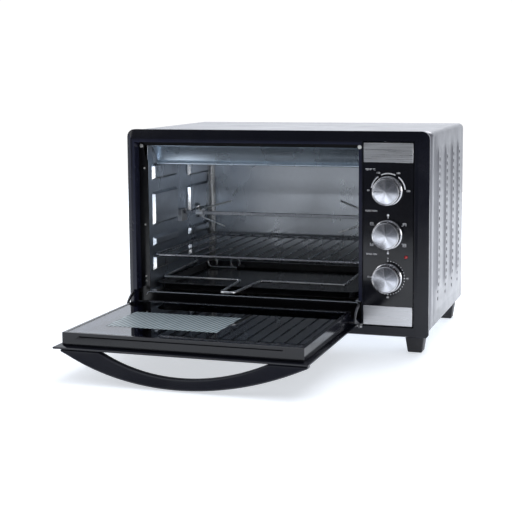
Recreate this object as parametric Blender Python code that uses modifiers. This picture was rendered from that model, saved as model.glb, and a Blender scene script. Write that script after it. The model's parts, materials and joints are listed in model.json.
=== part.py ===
"""Counter-top rotisserie oven, modelled as an assembly of named solids.

Frame: +X to the right along the front, +Y to the back, +Z up, in metres.
Z = 0 is the plane of the feet. X = 0 and Y = 0 are the middle of the object with
its door open. Depths written `d` are measured behind the front of the bezel.
The door stands open, level, on its stop.
"""

import math

import bmesh
import bpy
from mathutils import Matrix, Vector

# ---------------------------------------------------------------- dimensions

FRONT_Y = -0.0209  # front plane of the bezel
GAP = 0.0003  # clearance between pieces that touch

# Body
BODY_WIDTH = 0.520
BODY_TOP = 0.3595
BEZEL_BOTTOM = 0.028
BEZEL_RIM_DEPTH = 0.012
BEZEL_DEPTH = 0.0202
SHELL_HALF_WIDTH = 0.258
SHELL_TOP = 0.3575
SHELL_BOTTOM = 0.037
SHELL_CORNER = 0.009
SHELL_END = 0.350
SHEET = 0.001
FOOT_X = 0.235
FOOT_DEPTHS = (0.033, 0.319)

# Door pocket and control panel openings in the bezel: x0, x1, z0, z1
POCKET = (-0.245, 0.1465, 0.050, 0.338)
PANEL_HOLE = (0.1528, 0.2364, 0.0445, 0.3435)

# Cooking chamber, inner faces
CAVITY_LEFT = -0.230
CAVITY_RIGHT = 0.146
CAVITY_BOTTOM = 0.058
CAVITY_TOP = 0.332
CAVITY_FRONT = 0.0220
CAVITY_BACK = 0.322
CAVITY_D = (CAVITY_FRONT, CAVITY_BACK)
MOUTH_BOTTOM = 0.077
MOUTH_TOP = 0.331
PAD_HEIGHT = 0.005
PAD_SLOPE = 0.004
PAD_BANKS = (
    ((0.038, 0.148), ((0.112, 0.1385), (0.154, 0.172), (0.191, 0.249), (0.270, 0.298))),
    ((0.204, 0.306), ((0.112, 0.1385), (0.151, 0.169), (0.196, 0.246), (0.263, 0.298))),
)

# Rotisserie
SPIT_D = 0.165
SPIT_Z = 0.2005
SPIT_SIDE = 0.006

# Rack, tray and lifting handle
RACK_Z = 0.1410
RACK_WIRE = 0.0022
RACK_BAR = 0.0015
RACK_PITCH = 0.0237
RACK_D = (0.033, 0.304)
TRAY_X = (-0.2265, 0.1385)
TRAY_D = (0.028, 0.296)
TRAY_BOTTOM = 0.0805
TRAY_RIM = 0.0925
TOOL_WIRE = 0.0022
TOOL_Z = TRAY_RIM + GAP + TOOL_WIRE
HOOK_D = 0.2680
HOOK_WIRE = 0.0016
HOOK_RADIUS = 0.0090
HOOK_Z = TRAY_BOTTOM + SHEET + GAP + HOOK_WIRE

# Door. HINGE_* is the axis along X; the sizes are those of the closed door.
HINGE_D = -0.005
HINGE_Z = 0.045
DOOR_X = (-0.241, 0.138)
DOOR_Z = (0.054, 0.326)
DOOR_FRAME_D = (-0.001, 0.019)
DOOR_PLATE_X = (-0.2505, 0.1478)
DOOR_PLATE_Z = (0.047, 0.340)
DOOR_PLATE_D = (-0.0043, -0.0013)
DOOR_WINDOW_X = (-0.212, 0.109)
DOOR_WINDOW_Z = (0.082, 0.298)
GLASS_X = (-0.2345, 0.1315)
GLASS_Z = (0.0605, 0.3195)
GLASS_THICK = 0.003
STAY_X = {"left": -0.2478, "right": 0.1492}
STAY_THICK = 0.0022
STAY_NOTCH = 0.0028

# Handle: a bow that leans forward. A bow is its middle, half width and drop below its chord.
HANDLE_OUTER = (-0.0450, 0.1931, 0.0455)
HANDLE_INNER = (-0.0430, 0.1275, 0.0288)
HANDLE_HALF = 0.1915
HANDLE_CHORD = (-0.3005, 0.0432)
HANDLE_TOP = 0.0024
HANDLE_DEEP = 0.0130
HANDLE_LEAN = 24.0
HANDLE_SOFT = 0.0030

# Controls
KNOB_X = 0.1945
KNOB_Z = {"thermostat": 0.2650, "function": 0.1945, "timer": 0.1245}
KNOB_RADIUS = 0.0235
KNOB_DEPTH = 0.021
LAMP = (0.2237, 0.1590)
PANEL_D = (0.0008, 0.0058)

# ---------------------------------------------------------------- helpers

for old in list(bpy.data.objects):
    bpy.data.objects.remove(old, do_unlink=True)

PARTS = bpy.data.collections.new("rotisserie_oven")
CUTTERS = bpy.data.collections.new("cutters")
bpy.context.scene.collection.children.link(PARTS)
bpy.context.scene.collection.children.link(CUTTERS)


def material(name, colour, roughness, metallic=0.0):
    """A Principled material of one colour."""
    made = bpy.data.materials.new(name)
    made.use_nodes = True
    shader = made.node_tree.nodes["Principled BSDF"]
    shader.inputs["Base Color"].default_value = (*colour, 1.0)
    shader.inputs["Roughness"].default_value = roughness
    shader.inputs["Metallic"].default_value = metallic
    return made


MATS = {
    "bezel_black": material("bezel_black", (0.035, 0.036, 0.042), 0.45),
    "panel_black": material("panel_black", (0.012, 0.012, 0.016), 0.18),
    "shell_silver": material("shell_silver", (0.62, 0.62, 0.64), 0.38, 0.8),
    "galvanised": material("galvanised", (0.42, 0.46, 0.50), 0.32, 0.9),
    "enamel_black": material("enamel_black", (0.010, 0.010, 0.012), 0.22),
    "brushed_plate": material("brushed_plate", (0.62, 0.61, 0.60), 0.35, 1.0),
    "knob_metal": material("knob_metal", (0.70, 0.70, 0.72), 0.25, 1.0),
    "chrome_wire": material("chrome_wire", (0.75, 0.75, 0.77), 0.14, 1.0),
    "zinc": material("zinc", (0.60, 0.60, 0.58), 0.35, 1.0),
    "glass": material("glass", (0.05, 0.06, 0.07), 0.05),
    "door_black": material("door_black", (0.014, 0.014, 0.018), 0.16),
    "handle_black": material("handle_black", (0.018, 0.018, 0.020), 0.35),
    "foot_black": material("foot_black", (0.030, 0.030, 0.034), 0.70),
    "heater_steel": material("heater_steel", (0.30, 0.29, 0.28), 0.45, 0.8),
    "lamp_red": material("lamp_red", (0.75, 0.02, 0.03), 0.25),
    "buffer_white": material("buffer_white", (0.80, 0.80, 0.78), 0.55),
    "motor_grey": material("motor_grey", (0.35, 0.35, 0.36), 0.50, 0.4),
}


def at(x, d, z):
    """A point in the object's frame from x, the depth behind the bezel, and z."""
    return Vector((x, FRONT_Y + d, z))


def hung(obj, parent):
    """Parents an object with its place kept."""
    bpy.context.view_layer.update()
    if parent is not None:
        obj.parent = parent
        obj.matrix_parent_inverse = parent.matrix_world.inverted()
    return obj


def place(name, data, mat, parent=None):
    """A new part of this mesh or curve."""
    obj = bpy.data.objects.new(name, data)
    data.materials.append(MATS[mat])
    PARTS.objects.link(obj)
    return hung(obj, parent)


def as_cutter(obj):
    """Turns an object into a hidden helper of a Boolean."""
    for collection in list(obj.users_collection):
        collection.objects.unlink(obj)
    CUTTERS.objects.link(obj)
    obj.hide_render = True
    obj.display_type = "WIRE"
    return obj


def boolean(obj, other, operation="DIFFERENCE"):
    """Adds an exact Boolean of `other`, which becomes a hidden helper."""
    made = obj.modifiers.new(f"{operation.title()} {other.name}", "BOOLEAN")
    made.operation = operation
    made.object = as_cutter(other)
    made.solver = "EXACT"


def smooth(obj, angle=35.0):
    """Shades an object smooth with its sharp edges kept."""
    obj.data.shade_smooth()
    obj.data.set_sharp_from_angle(angle=math.radians(angle))


def bevel(obj, width, segments=2, angle=40.0):
    """Rounds the edges that are sharper than `angle` degrees."""
    made = obj.modifiers.new("Bevel", "BEVEL")
    made.width = width
    made.segments = segments
    made.limit_method = "ANGLE"
    made.angle_limit = math.radians(angle)


def box(name, x, d, z, mat="zinc", parent=None):
    """A block from its ranges in x, depth and z."""
    size = Vector((x[1] - x[0], d[1] - d[0], z[1] - z[0]))
    mesh = bpy.data.meshes.new(name)
    shape = bmesh.new()
    bmesh.ops.create_cube(shape, size=1.0, matrix=Matrix.Diagonal((*size, 1.0)))
    shape.to_mesh(mesh)
    shape.free()
    obj = place(name, mesh, mat)
    obj.location = at((x[0] + x[1]) / 2, (d[0] + d[1]) / 2, (z[0] + z[1]) / 2)
    return hung(obj, parent)


def cone(name, base, top, axis, centre, length, mat="zinc", sides=24, parent=None):
    """A round or tapered bar about `axis`, centred on `centre`."""
    mesh = bpy.data.meshes.new(name)
    shape = bmesh.new()
    bmesh.ops.create_cone(
        shape, cap_ends=True, segments=sides, radius1=base, radius2=top, depth=length
    )
    shape.to_mesh(mesh)
    shape.free()
    obj = place(name, mesh, mat)
    obj.rotation_mode = "QUATERNION"
    obj.rotation_quaternion = Vector(axis).to_track_quat("Z", "Y")
    obj.location = centre
    smooth(obj)
    return hung(obj, parent)


def turned(name, profile, axis, centre, mat, steps=32, parent=None):
    """A turned piece. The profile is (radius, height) from the top down the outside."""
    mesh = bpy.data.meshes.new(name)
    points = [(radius, 0.0, height) for radius, height in profile]
    mesh.from_pydata(points, [(i, i + 1) for i in range(len(points) - 1)], [])
    obj = place(name, mesh, mat)
    screw = obj.modifiers.new("Screw", "SCREW")
    screw.axis = "Z"
    screw.steps = steps
    screw.render_steps = steps
    screw.use_merge_vertices = True
    screw.merge_threshold = 0.00005
    screw.use_smooth_shade = True
    obj.rotation_mode = "QUATERNION"
    obj.rotation_quaternion = Vector(axis).to_track_quat("Z", "Y")
    obj.location = centre
    return hung(obj, parent)


def add_route(curve, points, cyclic):
    """Adds a straight-sided line through these points to a curve."""
    spline = curve.splines.new("POLY")
    spline.points.add(len(points) - 1)
    for target, point in zip(spline.points, points):
        target.co = (*point, 1.0)
    spline.use_cyclic_u = cyclic


def mesh_of(curve):
    """A curve's solid as a closed mesh that Booleans can use."""
    guide = bpy.data.objects.new(curve.name + "_guide", curve)
    PARTS.objects.link(guide)
    bpy.context.view_layer.update()
    graph = bpy.context.evaluated_depsgraph_get()
    mesh = bpy.data.meshes.new_from_object(guide.evaluated_get(graph))
    bpy.data.objects.remove(guide)
    shape = bmesh.new()
    shape.from_mesh(mesh)
    bmesh.ops.remove_doubles(shape, verts=shape.verts, dist=1e-6)
    bmesh.ops.recalc_face_normals(shape, faces=shape.faces)
    shape.to_mesh(mesh)
    shape.free()
    mesh.materials.clear()
    return mesh


def wire(name, points, radius, mat, cyclic=False):
    """A bent wire with flat ends."""
    curve = bpy.data.curves.new(name, "CURVE")
    curve.dimensions = "3D"
    curve.bevel_depth = radius
    curve.bevel_resolution = 2
    curve.use_fill_caps = True
    add_route(curve, points, cyclic)
    obj = place(name, mesh_of(curve), mat)
    smooth(obj, 50)
    return obj


def joined(name, pieces, mat):
    """Several separate closed meshes in one object, for one Boolean union."""
    mesh = bpy.data.meshes.new(name)
    shape = bmesh.new()
    for piece in pieces:
        piece.data.transform(piece.matrix_world)
        shape.from_mesh(piece.data)
        bpy.data.objects.remove(piece)
    shape.to_mesh(mesh)
    shape.free()
    return place(name, mesh, mat)


def outline(name, rings, thickness, rotation, centre, mat, parent=None):
    """A flat plate: the first ring is its edge, and the others are its holes."""
    curve = bpy.data.curves.new(name, "CURVE")
    curve.dimensions = "2D"
    curve.fill_mode = "BOTH"
    curve.extrude = thickness / 2
    for ring in rings:
        add_route(curve, [(u, v, 0.0) for u, v in ring], True)
    obj = place(name, mesh_of(curve), mat)
    obj.rotation_euler = rotation
    obj.location = centre
    return hung(obj, parent)


FACING_FRONT = (math.radians(90), 0.0, 0.0)  # outline x, y become x, z
FACING_SIDE = (math.radians(90), 0.0, math.radians(90))  # outline x, y become y, z
ALONG_X = (1, 0, 0)


def arc(centre, radius, start, end, count):
    """Points of an arc in a plane, angles in degrees."""
    angles = [math.radians(start + (end - start) * i / count) for i in range(count + 1)]
    return [
        (centre[0] + radius * math.cos(a), centre[1] + radius * math.sin(a))
        for a in angles
    ]


def rectangle(x0, x1, z0, z1, top=0.0005, bottom=0.0005, count=5):
    """A rectangle with rounded corners, anticlockwise from the lower right."""
    ring = arc((x1 - bottom, z0 + bottom), bottom, -90, 0, count)
    ring += arc((x1 - top, z1 - top), top, 0, 90, count)
    ring += arc((x0 + top, z1 - top), top, 90, 180, count)
    ring += arc((x0 + bottom, z0 + bottom), bottom, 180, 270, count)
    return ring


def loft(name, sections, mat):
    """A closed solid through sections of equal point counts, front to back."""
    mesh = bpy.data.meshes.new(name)
    shape = bmesh.new()
    rings = [[shape.verts.new(at(x, d, z)) for x, z in ring] for d, ring in sections]
    for near, far in zip(rings, rings[1:]):
        for i, corner in enumerate(near):
            j = (i + 1) % len(near)
            shape.faces.new((corner, near[j], far[j], far[i]))
    shape.faces.new(rings[0])
    shape.faces.new(rings[-1])
    bmesh.ops.recalc_face_normals(shape, faces=shape.faces)
    shape.to_mesh(mesh)
    shape.free()
    return place(name, mesh, mat)


def empty(name, position):
    """An axis that the moving pieces hang on."""
    made = bpy.data.objects.new(name, None)
    made.empty_display_size = 0.03
    made.location = position
    PARTS.objects.link(made)
    bpy.context.view_layer.update()
    return made


# ---------------------------------------------------------------- body

half = BODY_WIDTH / 2

face_ring = rectangle(-half + 0.008, half - 0.017, BEZEL_BOTTOM + 0.002, BODY_TOP - 0.013, 0.003, 0.003)
rim_ring = rectangle(-half, half, BEZEL_BOTTOM, BODY_TOP, 0.013, 0.006)
plug_ring = rectangle(-0.2562, 0.2562, 0.0385, 0.3557, 0.008, 0.003)
bezel_sections = [
    (0.0, face_ring),
    (0.005, rim_ring),
    (BEZEL_RIM_DEPTH, rim_ring),
    (BEZEL_RIM_DEPTH, plug_ring),
    (BEZEL_DEPTH, plug_ring),
]
bezel = loft("bezel", bezel_sections, "bezel_black")
through = (-0.02, 0.04)
boolean(bezel, box("pocket_cut", POCKET[:2], through, POCKET[2:]))
boolean(bezel, box("panel_cut", PANEL_HOLE[:2], through, PANEL_HOLE[2:]))
for side, x in STAY_X.items():
    notch = (x - STAY_NOTCH, x + STAY_NOTCH)
    boolean(bezel, box(f"stay_notch_{side}", notch, through, (POCKET[2] - 0.003, 0.084)))


def shell_section():
    """The wrap's outside from its lower left edge over the top to its lower right."""
    x = SHELL_HALF_WIDTH
    turn = SHELL_CORNER
    right = arc((x - turn, SHELL_TOP - turn), turn, 0, 90, 5)
    left = arc((-x + turn, SHELL_TOP - turn), turn, 90, 180, 5)
    return [(x, SHELL_BOTTOM), *right, *left, (-x, SHELL_BOTTOM)]


def bent_sheet(name, section, d, mat):
    """A sheet folded along a section in x and z, as an open surface made solid."""
    mesh = bpy.data.meshes.new(name)
    shape = bmesh.new()
    front = [shape.verts.new(at(x, d[0], z)) for x, z in section]
    back = [shape.verts.new(at(x, d[1], z)) for x, z in section]
    for i in range(len(section) - 1):
        shape.faces.new((front[i], front[i + 1], back[i + 1], back[i]))
    shape.to_mesh(mesh)
    shape.free()
    obj = place(name, mesh, mat)
    solid = obj.modifiers.new("Solidify", "SOLIDIFY")
    solid.thickness = SHEET
    solid.offset = 1.0
    solid.use_even_offset = True
    return obj


bent_sheet("shell", shell_section(), (BEZEL_RIM_DEPTH + GAP, SHELL_END), "shell_silver")

back_ring = rectangle(-0.2575, 0.2575, SHELL_BOTTOM, SHELL_TOP - 0.0005, 0.0085, 0.0005)
cover_centre = at(0, SHELL_END + GAP + SHEET / 2, 0)
outline("back_cover", [back_ring], SHEET, FACING_FRONT, cover_centre, "shell_silver")

base_z = (SHELL_BOTTOM, SHELL_BOTTOM + SHEET)
box("base_plate", (-0.2565, 0.2565), (0.0125, 0.3495), base_z, "galvanised")


def foot(name, x, d):
    """A tapered foot under the base plate."""
    top = SHELL_BOTTOM - GAP
    centre = at(x, d, top / 2)
    obj = cone(name, 0.0165, 0.0235, (0, 0, 1), centre, top, "foot_black", sides=4)
    obj.rotation_mode = "XYZ"
    obj.rotation_euler = (0.0, 0.0, math.radians(45))
    bevel(obj, 0.0015)
    return obj


for side, x in (("left", -FOOT_X), ("right", FOOT_X)):
    for end, d in zip(("front", "back"), FOOT_DEPTHS):
        foot(f"foot_{end}_{side}", x, d)

# ---------------------------------------------------------------- cooking chamber


def mouth_ring():
    """The chamber's mouth, with a shallow ear at each side of its top."""
    left, right = CAVITY_LEFT + 0.001, CAVITY_RIGHT - 0.001
    ear = 0.007
    return [
        (left, MOUTH_BOTTOM),
        (right, MOUTH_BOTTOM),
        (right, MOUTH_TOP),
        (left - ear, MOUTH_TOP),
        (left - ear, MOUTH_TOP - 0.014),
        (left, MOUTH_TOP - 0.026),
    ]


plate_d = BEZEL_DEPTH + GAP + SHEET / 2
front_plate = outline(
    "front_plate",
    [rectangle(-0.254, 0.1545, 0.0405, 0.350, 0.002, 0.002, 2), mouth_ring()],
    SHEET,
    FACING_FRONT,
    at(0, plate_d, 0),
    "enamel_black",
)
for side, x in STAY_X.items():
    slot = (x - STAY_NOTCH + 0.0008, x + STAY_NOTCH - 0.0008)
    boolean(front_plate, box(f"stay_slot_{side}", slot, (0.015, 0.030), (0.056, 0.0755)))


def grid_lines(low, high, bands):
    """The grid lines of a wall: its two edges, and the foot and top of each slope."""
    lines = {low, high}
    for start, end in bands:
        lines |= {start, start + PAD_SLOPE, end - PAD_SLOPE, end}
    return sorted(lines)


def rise(value, band):
    """How far up the slopes of a band a value stands, from 0 to 1."""
    start, end = band
    return max(0.0, min(1.0, (value - start) / PAD_SLOPE, (end - value) / PAD_SLOPE))


def pad_height(d, z):
    """How far the pressed pads stand out of a wall at this depth and height."""
    pads = [(depth, level) for depth, levels in PAD_BANKS for level in levels]
    return PAD_HEIGHT * max(min(rise(d, depth), rise(z, level)) for depth, level in pads)


def side_wall(name, x, inward):
    """A side wall whose pressed pads leave the level slots that carry the rack."""
    depths = grid_lines(CAVITY_FRONT, CAVITY_BACK, [depth for depth, _ in PAD_BANKS])
    levels = [level for _, bank in PAD_BANKS for level in bank]
    heights = grid_lines(CAVITY_BOTTOM + 0.0005, CAVITY_TOP - 0.0005, levels)
    mesh = bpy.data.meshes.new(name)
    shape = bmesh.new()
    grid = []
    for z in heights:
        row = [at(x + pad_height(d, z) * inward, d, z) for d in depths]
        grid.append([shape.verts.new(point) for point in row])
    for low, high in zip(grid, grid[1:]):
        for i in range(len(low) - 1):
            corners = (low[i], low[i + 1], high[i + 1], high[i])
            shape.faces.new(corners if inward > 0 else corners[::-1])
    shape.to_mesh(mesh)
    shape.free()
    obj = place(name, mesh, "galvanised")
    solid = obj.modifiers.new("Solidify", "SOLIDIFY")
    solid.thickness = SHEET
    solid.offset = -1.0
    return obj


side_wall("cavity_left", CAVITY_LEFT, 1)
right_wall = side_wall("cavity_right", CAVITY_RIGHT, -1)
hole_centre = at(CAVITY_RIGHT, SPIT_D, SPIT_Z)
boolean(right_wall, cone("drive_hole", 0.0095, 0.0095, ALONG_X, hole_centre, 0.03, sides=20))

plate_x = (CAVITY_LEFT - SHEET, CAVITY_RIGHT + SHEET)
box("cavity_top", plate_x, CAVITY_D, (CAVITY_TOP, CAVITY_TOP + SHEET), "galvanised")
box("cavity_bottom", plate_x, CAVITY_D, (CAVITY_BOTTOM - SHEET, CAVITY_BOTTOM), "galvanised")
back_z = (CAVITY_BOTTOM - SHEET, CAVITY_TOP + SHEET)
box("cavity_back", plate_x, (CAVITY_BACK + GAP, CAVITY_BACK + GAP + SHEET), back_z, "galvanised")


def deflector_section():
    """The strip under the top of the mouth, curved back and turned in at its edge."""
    outer = arc((0.0265, 0.3045), 0.026, 88, -8, 8)
    return [*outer, (0.0490, 0.2975)]


def long_sheet(name, section, x, mat, thickness=SHEET):
    """A strip along X, folded along a section in depth and z."""
    mesh = bpy.data.meshes.new(name)
    shape = bmesh.new()
    left = [shape.verts.new(at(x[0], d, z)) for d, z in section]
    right = [shape.verts.new(at(x[1], d, z)) for d, z in section]
    for i in range(len(section) - 1):
        shape.faces.new((left[i], right[i], right[i + 1], left[i + 1]))
    shape.to_mesh(mesh)
    shape.free()
    obj = place(name, mesh, mat)
    solid = obj.modifiers.new("Solidify", "SOLIDIFY")
    solid.thickness = thickness
    solid.offset = 0.0
    return obj


deflector_x = (CAVITY_LEFT + 0.0055, CAVITY_RIGHT - 0.0055)
long_sheet("deflector", deflector_section(), deflector_x, "galvanised")

for side, x in (("left", CAVITY_LEFT), ("right", CAVITY_RIGHT)):
    inward = 1 if side == "left" else -1
    span = sorted((x + GAP * inward, x + 0.011 * inward))
    box(f"tray_rail_{side}", span, (0.026, 0.316), (0.0772, TRAY_BOTTOM - GAP), "galvanised")

heater_x = (CAVITY_LEFT + GAP + 0.0002, CAVITY_RIGHT - GAP - 0.0002)
heater_long = heater_x[1] - heater_x[0]
for level, z in (("upper", 0.318), ("lower", 0.068)):
    for row, d in (("front", 0.105), ("back", 0.235)):
        centre = at(sum(heater_x) / 2, d, z)
        name = f"heater_{level}_{row}"
        cone(name, 0.0032, 0.0032, ALONG_X, centre, heater_long, "heater_steel", 16)


def buffer(name, x, z, base, thickness):
    """A round bumper for the door, standing forward of the depth `base`."""
    dome = [(0.0, 1.0), (0.0018, 0.95), (0.0028, 0.75), (0.0032, 0.4), (0.0032, 0.0), (0.0, 0.0)]
    profile = [(radius, height * thickness) for radius, height in dome]
    turned(name, profile, (0, -1, 0), at(x, base, z), "buffer_white", 16)


buffer("buffer_left", -0.2405, 0.3305, BEZEL_DEPTH, 0.0016)
buffer("buffer_right", 0.1480, 0.3340, -GAP, 0.0007)

# ---------------------------------------------------------------- controls

panel_rings = [rectangle(0.1540, 0.2352, 0.0458, 0.3422, 0.002, 0.002)]
for z in KNOB_Z.values():
    panel_rings.append(arc((KNOB_X, z), 0.0042, 0, 345, 23))
panel_rings.append(arc(LAMP, 0.0031, 0, 337.5, 15))
panel_thick = PANEL_D[1] - PANEL_D[0]
panel_centre = at(0, sum(PANEL_D) / 2, 0)
outline("control_panel", panel_rings, panel_thick, FACING_FRONT, panel_centre, "panel_black")

plate_d = (PANEL_D[0] - GAP - 0.0014, PANEL_D[0] - GAP)
for name, z in (("badge_plate", (0.3100, 0.3412)), ("trim_plate", (0.0468, 0.0780))):
    bevel(box(name, (0.1546, 0.2346), plate_d, z, "brushed_plate"), 0.0005, 1)

lens = [
    (0.0, 0.0015),
    (0.0014, 0.0013),
    (0.0023, 0.0006),
    (0.0027, -0.0006),
    (0.0027, -0.0100),
    (0.0, -0.0100),
]
turned("indicator_lamp", lens, (0, -1, 0), at(LAMP[0], 0.0, LAMP[1]), "lamp_red", 16)


def knob(name, z):
    """A knob on its shaft, with a separate brushed disc let into its face."""
    axis = empty(f"{name}_axis", at(KNOB_X, 0.0, z))
    tip = KNOB_DEPTH
    profile = [
        (0.0, tip - 0.0012),
        (0.0200, tip - 0.0012),
        (0.0200, tip),
        (0.0213, tip),
        (0.0221, tip - 0.0012),
        (0.0226, 0.0040),
        (KNOB_RADIUS, 0.0028),
        (KNOB_RADIUS, 0.0008),
        (0.0034, 0.0008),
        (0.0034, -0.0105),
        (0.0, -0.0105),
    ]
    turned(f"{name}_knob", profile, (0, -1, 0), axis.location, "knob_metal", 36, axis)
    disc = [(0.0, 0.0008), (0.0190, 0.0008), (0.0196, 0.0004), (0.0196, 0.0), (0.0, 0.0)]
    centre = axis.location - Vector((0, tip - 0.0012 + GAP, 0))
    turned(f"{name}_disc", disc, (0, -1, 0), centre, "brushed_plate", 32, axis)


for name, z in KNOB_Z.items():
    knob(name, z)
    control_x = (KNOB_X - 0.022, KNOB_X + 0.022)
    control_z = (z - 0.021, z + 0.021)
    control = box(f"{name}_control", control_x, (0.0115, 0.0420), control_z, "motor_grey")
    bevel(control, 0.002, 1)

# ---------------------------------------------------------------- rotisserie

spit_axis = empty("spit_axis", at(0.0, SPIT_D, SPIT_Z))


def round_spit(half_depth, half_height):
    """The ranges of depth and z that lie this far round the spit's axis."""
    depths = (SPIT_D - half_depth, SPIT_D + half_depth)
    return depths, (SPIT_Z - half_height, SPIT_Z + half_height)


box("spit_motor", (0.1520, 0.1900), *round_spit(0.024, 0.026), "motor_grey")

socket_centre = at(0.1440, SPIT_D, SPIT_Z)
socket = cone("drive_socket", 0.0080, 0.0080, ALONG_X, socket_centre, 0.0150, "zinc", 24, spit_axis)
hollow = SPIT_SIDE / 2 + 0.0004
boolean(socket, box("socket_cut", (0.1300, 0.1480), *round_spit(hollow, hollow)))

rod_ranges = round_spit(SPIT_SIDE / 2, SPIT_SIDE / 2)
rod = box("spit_rod", (-0.2175, 0.1470), *rod_ranges, "chrome_wire", spit_axis)
journal_centre = at(-0.2210, SPIT_D, SPIT_Z)
journal = cone("journal", 0.0026, 0.0026, ALONG_X, journal_centre, 0.0150, "chrome_wire", 16)
boolean(rod, journal, "UNION")

cradle = [
    (SPIT_D - 0.013, SPIT_Z - 0.016),
    (SPIT_D + 0.013, SPIT_Z - 0.016),
    (SPIT_D + 0.013, SPIT_Z + 0.006),
    (SPIT_D + 0.0031, SPIT_Z + 0.006),
    *arc((SPIT_D, SPIT_Z), 0.0031, 0, -180, 8),
    (SPIT_D - 0.0031, SPIT_Z + 0.006),
    (SPIT_D - 0.013, SPIT_Z + 0.006),
]
bearing_x = CAVITY_LEFT + GAP + 0.0044
outline("spit_bearing", [cradle], 0.0088, FACING_SIDE, at(bearing_x, 0.0, 0.0), "zinc")


def fork(name, x, facing, roll):
    """A two-pronged fork with its screw. `facing` is where the prongs point along X."""
    hub_centre = at(x, SPIT_D, SPIT_Z)
    hub = cone(f"fork_{name}", 0.0085, 0.0085, ALONG_X, hub_centre, 0.012, "chrome_wire", 20)
    prongs = []
    for turn in (0, 180):
        angle = math.radians(roll + turn)
        out = Vector((0, math.sin(angle), math.cos(angle)))
        root = hub_centre + out * 0.0070
        bend = root + Vector((facing * 0.014, 0, 0)) + out * 0.0060
        point = root + Vector((facing * 0.054, 0, 0)) + out * 0.0215
        prongs.append(wire(f"prong_{name}_{turn}", [root, bend, point], 0.0016, "chrome_wire"))
    boolean(hub, joined(f"prongs_{name}", prongs, "chrome_wire"), "UNION")
    boolean(hub, box(f"fork_cut_{name}", (x - 0.02, x + 0.02), *round_spit(hollow, hollow)))
    angle = math.radians(roll - 90)
    out = Vector((0, math.sin(angle), math.cos(angle)))
    base = hub_centre + out * (0.0085 + GAP)
    profile = [
        (0.0, 0.0150),
        (0.0050, 0.0150),
        (0.0056, 0.0142),
        (0.0056, 0.0090),
        (0.0048, 0.0082),
        (0.0024, 0.0078),
        (0.0024, 0.0),
        (0.0, 0.0),
    ]
    axis = empty(f"thumbscrew_{name}_axis", base)
    turned(f"thumbscrew_{name}", profile, out, base, "zinc", 20, axis)
    hung(hub, spit_axis)
    hung(axis, spit_axis)


fork("left", -0.1900, 1, 43)
fork("right", 0.1260, -1, 14)

# ---------------------------------------------------------------- rack

rack_x = (CAVITY_LEFT + 0.0018 + RACK_WIRE, CAVITY_RIGHT - 0.0018 - RACK_WIRE)
turn = 0.012
corners = []
for cx, cd, start in (
    (rack_x[1] - turn, RACK_D[0] + turn, -90),
    (rack_x[1] - turn, RACK_D[1] - turn, 0),
    (rack_x[0] + turn, RACK_D[1] - turn, 90),
    (rack_x[0] + turn, RACK_D[0] + turn, 180),
):
    bend = arc((cx, cd), turn, start, start + 90, 4)
    corners += [at(x, d, RACK_Z) for x, d in bend]
rack = wire("rack", corners, RACK_WIRE, "chrome_wire", cyclic=True)
bars = []
middle = (rack_x[0] + rack_x[1]) / 2
for i in range(-7, 8):
    x = middle + i * RACK_PITCH
    depths = (RACK_D[0] - 0.0012, RACK_D[1] + 0.0012)
    ends = [at(x, d, RACK_Z + 0.0016) for d in depths]
    bars.append(wire(f"rack_bar_{i}", ends, RACK_BAR, "chrome_wire"))
boolean(rack, joined("rack_bars", bars, "chrome_wire"), "UNION")

# ---------------------------------------------------------------- tray


def tray_section(d0, d1, x0, x1, corner, count=4):
    """One level of the tray, as a rounded rectangle seen from above."""
    ring = arc((x1 - corner, d0 + corner), corner, -90, 0, count)
    ring += arc((x1 - corner, d1 - corner), corner, 0, 90, count)
    ring += arc((x0 + corner, d1 - corner), corner, 90, 180, count)
    ring += arc((x0 + corner, d0 + corner), corner, 180, 270, count)
    return ring


def tray():
    """A shallow tray with a flat rim, as an open surface made solid downwards."""
    x0, x1 = TRAY_X
    d0, d1 = TRAY_D
    rim = 0.008
    levels = [
        (TRAY_RIM, 0.0, 0.020),
        (TRAY_RIM, rim, 0.014),
        (TRAY_BOTTOM + SHEET, rim + 0.003, 0.012),
    ]
    mesh = bpy.data.meshes.new("tray")
    shape = bmesh.new()
    rings = []
    for z, inset, corner in levels:
        ring = tray_section(d0 + inset, d1 - inset, x0 + inset, x1 - inset, corner)
        rings.append([shape.verts.new(at(x, d, z)) for x, d in ring])
    for outer, inner in zip(rings, rings[1:]):
        for i, corner in enumerate(outer):
            j = (i + 1) % len(outer)
            shape.faces.new((corner, outer[j], inner[j], inner[i]))
    shape.faces.new(rings[-1])
    bmesh.ops.recalc_face_normals(shape, faces=shape.faces)
    shape.normal_update()
    if shape.faces[-1].normal.z < 0:
        bmesh.ops.reverse_faces(shape, faces=shape.faces)
    shape.to_mesh(mesh)
    shape.free()
    obj = place("tray", mesh, "enamel_black")
    solid = obj.modifiers.new("Solidify", "SOLIDIFY")
    solid.thickness = SHEET
    solid.offset = -1.0
    solid.use_even_offset = True


tray()

# ---------------------------------------------------------------- lifting tools


def rounded_route(points, radius, count=4):
    """A route through these points with its inner corners rounded."""
    route = [points[0]]
    for before, corner, after in zip(points, points[1:], points[2:]):
        to_before = (before - corner).normalized()
        to_after = (after - corner).normalized()
        start, end = corner + to_before * radius, corner + to_after * radius
        for i in range(count + 1):
            t = i / count
            route.append(start * (1 - t) ** 2 + corner * 2 * t * (1 - t) + end * t**2)
    route.append(points[-1])
    return route


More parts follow.
